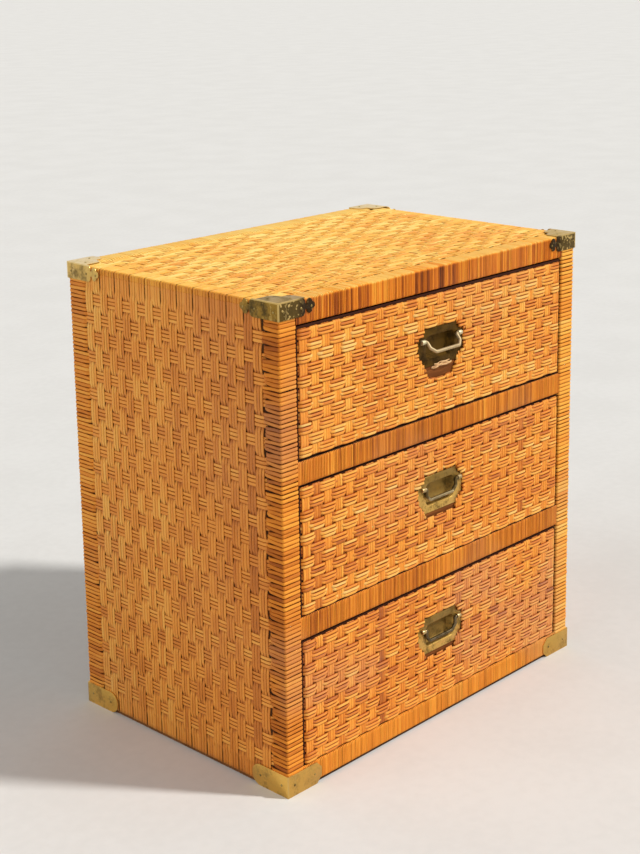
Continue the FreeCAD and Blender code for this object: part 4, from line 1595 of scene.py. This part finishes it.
@dataclass
class NailHeads:
    """Small domed nails in the brass corners, placed by their distances from the folds."""

    radius: float = 1.7 * MM
    dome: float = 0.42
    upper_drop: float = 12.5 * MM
    lower_level: float = 15 * MM
    upper_front: tuple[float, ...] = (9 * MM, 39 * MM, 57 * MM)
    upper_side: tuple[float, ...] = (9 * MM, 41 * MM, 61 * MM)
    lower_front: tuple[float, ...] = (12 * MM, 49 * MM)
    lower_side: tuple[float, ...] = (12 * MM, 51 * MM)
    on_top: tuple[Range, ...] = ((31 * MM, 10 * MM), (10 * MM, 28 * MM))

    def tool(self) -> NodeTool:
        """Return the Geometry Nodes tree that sets a dome on each point.

        Returns:
            The tree, ready to run.
        """
        kinds = {"Geometry": "Geometry", "radius": "Float", "dome": "Float", "material": "Material"}
        tool = NodeTool("nail_heads", kinds)
        graph, given = tool.graph, tool.given
        ball = graph.add("GeometryNodeMeshUVSphere", {"Segments": 10, "Rings": 6, "Radius": 1.0})
        ball = graph.add("GeometryNodeSetShadeSmooth", {"Geometry": ball})
        out = graph.add("GeometryNodeInputNamedAttribute", {"Name": "out"}, 0, data_type="FLOAT_VECTOR")
        turn = graph.add("FunctionNodeAlignRotationToVector", {"Vector": out}, axis="Z")
        size = graph.join(given.radius, given.radius, given.radius * given.dome)
        heads = graph.add(
            "GeometryNodeInstanceOnPoints",
            {"Points": given.Geometry, "Instance": ball, "Rotation": turn, "Scale": size},
        )
        graph.end(heads, given.material)
        return tool

    def spots(self, node: str) -> list[tuple[Vector, Vector]]:
        """Find where the nails of one corner stand.

        Args:
            node: The corner's node.

        Returns:
            Places and directions.
        """
        low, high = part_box(node)
        hand = X if high.x > 0 else -X
        face = Y if high.y > 0 else -Y
        outer = hand * max(abs(low.x), abs(high.x)) + face * max(abs(low.y), abs(high.y))
        if "upper" in node:
            level, fronts, sides = high.z - self.upper_drop, self.upper_front, self.upper_side
            tops = self.on_top
        else:
            level, fronts, sides, tops = self.lower_level, self.lower_front, self.lower_side, ()
        found = [(outer - hand * inward + Z * level, face) for inward in fronts]
        found += [(outer - face * inward + Z * level, hand) for inward in sides]
        found += [(outer - hand * x - face * y + Z * high.z, Z) for x, y in tops]
        return found

    def build(self, nodes: Sequence[str]) -> None:
        """Nail all the corners.

        Args:
            nodes: The corners' nodes.
        """
        spots = [spot for node in nodes for spot in self.spots(node)]
        source = bpy.data.meshes.new("nail_places")
        source.from_pydata([tuple(place) for place, _ in spots], [], [])
        outs = source.attributes.new("out", "FLOAT_VECTOR", "POINT")
        outs.data.foreach_set("vector", [c for _, out in spots for c in out])
        material = NAIL_BRASS.material()
        mesh = self.tool().run(source, radius=self.radius, dome=self.dome, material=material)
        add_piece("corner_nail_heads", mesh, NAIL_BRASS, "case")


@dataclass
class Metalwork:
    """The brass of the chest, taken from the CAD pieces with their edges eased."""

    frame: dict[str, Any]
    fold: float = 2.0 * MM
    fold_segments: int = 4
    rim: float = 0.28 * MM
    rim_segments: int = 2
    arm: float = 33.2 * MM
    swell: float = 0.36 * MM
    smooth_angle: float = math.radians(40)
    fold_angle: float = math.radians(57)
    flat_angle: float = math.radians(1)
    same_point: float = 1e-6
    same_face: float = 1e-5

    def copy(self, node: str) -> bmesh.types.BMesh:
        """Return a clean copy of a CAD node's mesh.

        Args:
            node: The node.

        Returns:
            The copy.
        """
        shape = bmesh.new()
        shape.from_mesh(self.frame["nodes"][node].data)
        bmesh.ops.remove_doubles(shape, verts=shape.verts, dist=self.same_point)
        bmesh.ops.dissolve_limit(
            shape, angle_limit=self.flat_angle, verts=shape.verts, edges=shape.edges
        )
        return shape

    def eased(self, shape: bmesh.types.BMesh) -> bpy.types.Mesh:
        """Ease the edges of a shape and smooth its curves.

        Args:
            shape: The shape, which is freed.

        Returns:
            The eased mesh.
        """
        carrier = put("carrier", settle("metal", shape))
        bevel = carrier.modifiers.new("rim", "BEVEL")
        bevel.width = self.rim
        bevel.segments = self.rim_segments
        bevel.limit_method = "ANGLE"
        bevel.angle_limit = self.smooth_angle
        made = bake(carrier)
        for polygon in made.polygons:
            polygon.use_smooth = True
        made.set_sharp_from_angle(angle=self.smooth_angle)
        return made

    def build_corner(self, node: str, finish: Finish) -> None:
        """Round the folds of a brass corner and ease its rim.

        Args:
            node: The corner's node.
            finish: Its finish.
        """
        shape = self.copy(node)
        low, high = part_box(node)
        faces = [(axis, high[axis] if low[axis] + high[axis] > 0 else low[axis]) for axis in range(3)]
        folds = []
        for edge in shape.edges:
            touched = [
                axis for axis, level in faces
                if all(abs(v.co[axis] - level) < self.same_face for v in edge.verts)
            ]
            if len(touched) == 2 and edge.is_manifold and edge.calc_face_angle(0) > self.fold_angle:
                folds.append(edge)
        bmesh.ops.bevel(
            shape, geom=folds, offset=self.fold, offset_type="OFFSET", segments=self.fold_segments,
            profile=0.5, affect="EDGES", clamp_overlap=True,
        )
        add_piece(node + "_sheet", self.eased(shape), finish, "case", [node])

    def build_pull(self, name: str, plate: Finish, bail: Finish) -> None:
        """Ease the plate and the bail of one drawer's pull, and swell the bail's wire.

        Args:
            name: The drawer.
            plate: The plate's finish.
            bail: The bail's finish.
        """
        node = name + "_drawer_pull_plate"
        mesh = self.eased(self.copy(node))
        add_piece(node + "_sheet", mesh, plate, name + "_drawer", [node])
        node = name + "_bail"
        wire = self.copy(node)
        wire.normal_update()
        for vert in wire.verts:
            if abs(vert.co.x) < self.arm:
                vert.co += vert.normal * self.swell
        add_piece(node + "_wire", self.eased(wire), bail, node, [node])


@dataclass
class Woodwork:
    """The wood that shows through the cane, inside the case and in the drawers."""

    frame: dict[str, Any]
    by_ending: dict[str, Finish] = field(default_factory=lambda: {
        "_front_board": FRONT_WOOD, "_left_side": BOX_WOOD, "_right_side": BOX_WOOD,
        "_drawer_back": CROSS_WOOD, "_drawer_bottom": CROSS_WOOD, "_runners": BOX_WOOD,
        "drawer_stops": CROSS_WOOD, "top_panel": TOP_WOOD, "_side_panel": SIDE_WOOD,
        "back_panel": BACK_WOOD, "bottom_panel": BACK_WOOD,
    })

    def dress(self) -> None:
        """Finish the CAD nodes by the endings of their names; those that pieces stand for don't show."""
        for name, node in self.frame["nodes"].items():
            found = (finish for ending, finish in self.by_ending.items() if name.endswith(ending))
            coat(node.data, next(found, DARK_WOOD))


@dataclass
class Studio:
    """Floor, lights and camera."""

    floor_size: float = 80.0
    sky: Colour = (0.92, 0.93, 0.94)
    sky_light: float = 0.42
    sky_seen: float = 0.50
    camera_place: tuple[float, float, float] = (-1.604, -1.519, 1.069)
    yaw: float = math.radians(46.17)
    pitch: float = math.radians(-12.71)
    roll: float = math.radians(-0.87)
    lens: float = 67.4
    shift_y: float = -0.149

    def build(self) -> None:
        """Set everything up."""
        self.lay_floor()
        self.add_sun("key", source=(0.42, -0.58, 0.70), strength=2.7, spread=5.0)
        self.add_sun("fill", source=(-0.75, 0.20, 0.60), strength=0.55, spread=40.0)
        self.set_world()
        self.place_camera()
        bpy.context.scene.view_settings.view_transform = "Standard"

    def lay_floor(self) -> None:
        """Lay a large pale floor."""
        shape = bmesh.new()
        bmesh.ops.create_grid(shape, x_segments=2, y_segments=2, size=self.floor_size / 2)
        floor = put("floor", settle("floor", shape))
        coat(floor.data, PALE_FLOOR)

    @staticmethod
    def add_sun(name: str, source: tuple[float, float, float], strength: float, spread: float) -> None:
        """Light the scene evenly from one direction.

        Args:
            name: The lamp's name.
            source: The direction that the light comes from.
            strength: Its strength.
            spread: The angle of its disc, in degrees.
        """
        lamp = bpy.data.lights.new(name, "SUN")
        lamp.energy = strength
        lamp.angle = math.radians(spread)
        put(name, lamp).rotation_euler = Vector(source).to_track_quat("Z", "Y").to_euler()

    def set_world(self) -> None:
        """Surround the scene with an even pale light that looks brighter than it shines."""
        world = bpy.data.worlds.new("studio")
        bpy.context.scene.world = world
        world.use_nodes = True
        graph = Graph(world.node_tree)
        path = graph.add("ShaderNodeLightPath")
        kinds = ("Camera", "Glossy", "Transmission")
        seen = graph.most(*(path.of("Is %s Ray" % kind) for kind in kinds))
        strength = self.sky_light + seen * self.sky_seen
        surface = world.node_tree.nodes["Background"]
        surface.inputs["Color"].default_value = (*self.sky, 1.0)
        world.node_tree.links.new(strength.socket, surface.inputs["Strength"])

    def place_camera(self) -> None:
        """Stand the camera where the photograph was taken."""
        ahead = Vector((
            math.cos(self.pitch) * math.sin(self.yaw),
            math.cos(self.pitch) * math.cos(self.yaw),
            math.sin(self.pitch),
        ))
        level = ahead.cross(Z).normalized()
        upright = level.cross(ahead)
        right = level * math.cos(self.roll) + upright * math.sin(self.roll)
        turn = Matrix((right, right.cross(ahead), -ahead)).transposed()
        data = bpy.data.cameras.new("camera")
        data.lens = self.lens
        data.shift_y = self.shift_y
        camera = put("camera", data)
        camera.matrix_world = Matrix.Translation(self.camera_place) @ turn.to_4x4()
        bpy.context.scene.camera = camera


def main() -> None:
    """Load the chest, dress it and set the scene."""
    logging.basicConfig(level=logging.INFO, format="%(name)s: %(message)s")
    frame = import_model()
    tree = StrandTree()
    Woodwork(frame).dress()
    skin = CaseSkin(tree)
    for hand in Hand:
        skin.build_side(hand)
    skin.build_top()
    posts = WoundPosts(tree)
    for end, hand, tone, seed in (
        (End.FRONT, Hand.LEFT, 0.51, 21), (End.FRONT, Hand.RIGHT, 0.72, 22),
        (End.REAR, Hand.LEFT, 0.62, 23), (End.REAR, Hand.RIGHT, 0.58, 24),
    ):
        posts.build(end, hand, tone, seed)
    rails = WoundRails(tree)
    for rail, tone, spread, seed in (
        ("bottom_rail", 0.56, 0.14, 31), ("lower_divider_rail", 0.43, 0.25, 32),
        ("upper_divider_rail", 0.42, 0.26, 33), ("top_rail", 0.44, 0.34, 35),
    ):
        rails.build(rail, tone, spread, seed)
    for front in (
        DrawerFront(
            tree, "lower", tone=0.60, seed=41, bare_drop=6 * MM, top_gap=1.0 * MM, marks=(7, 15),
            finish=DUSTY_CANE,
        ),
        DrawerFront(
            tree, "middle", tone=0.60, seed=42, bare_drop=7 * MM, marks=(1, 22), mark_tone=0.30,
        ),
        DrawerFront(
            tree, "upper", tone=0.67, seed=43, bare_drop=18 * MM, bare_top=33 * MM, bare_foot=24 * MM,
            top_gap=3.0 * MM, marks=(6, 19), mark_tone=0.40, bottom_reach=-0.8 * MM,
        ),
    ):
        front.build()
    LooseCane(tree).build()
    brass = Metalwork(frame)
    corners = []
    for end in End:
        for hand in Hand:
            front = NEAR_UPPER_BRASS if hand is Hand.LEFT else UPPER_BRASS
            upper = PALE_UPPER_BRASS if end is End.REAR else front
            for level, finish in (("upper", upper), ("lower", LOWER_BRASS)):
                corners.append("%s_%s_%s_corner" % (end.value, hand.value, level))
                brass.build_corner(corners[-1], finish)
    NailHeads().build(corners)
    # The upper pull's dark plate and pale bail are painted reflections.
    for name, plate, bail in (
        ("lower", PULL_BRASS, DARK_BAIL), ("middle", PULL_BRASS, BAIL_BRASS),
        ("upper", DARK_PULL, PALE_BAIL),
    ):
        brass.build_pull(name, plate, bail)
    Studio().build()


if __name__ == "__main__":
    main()
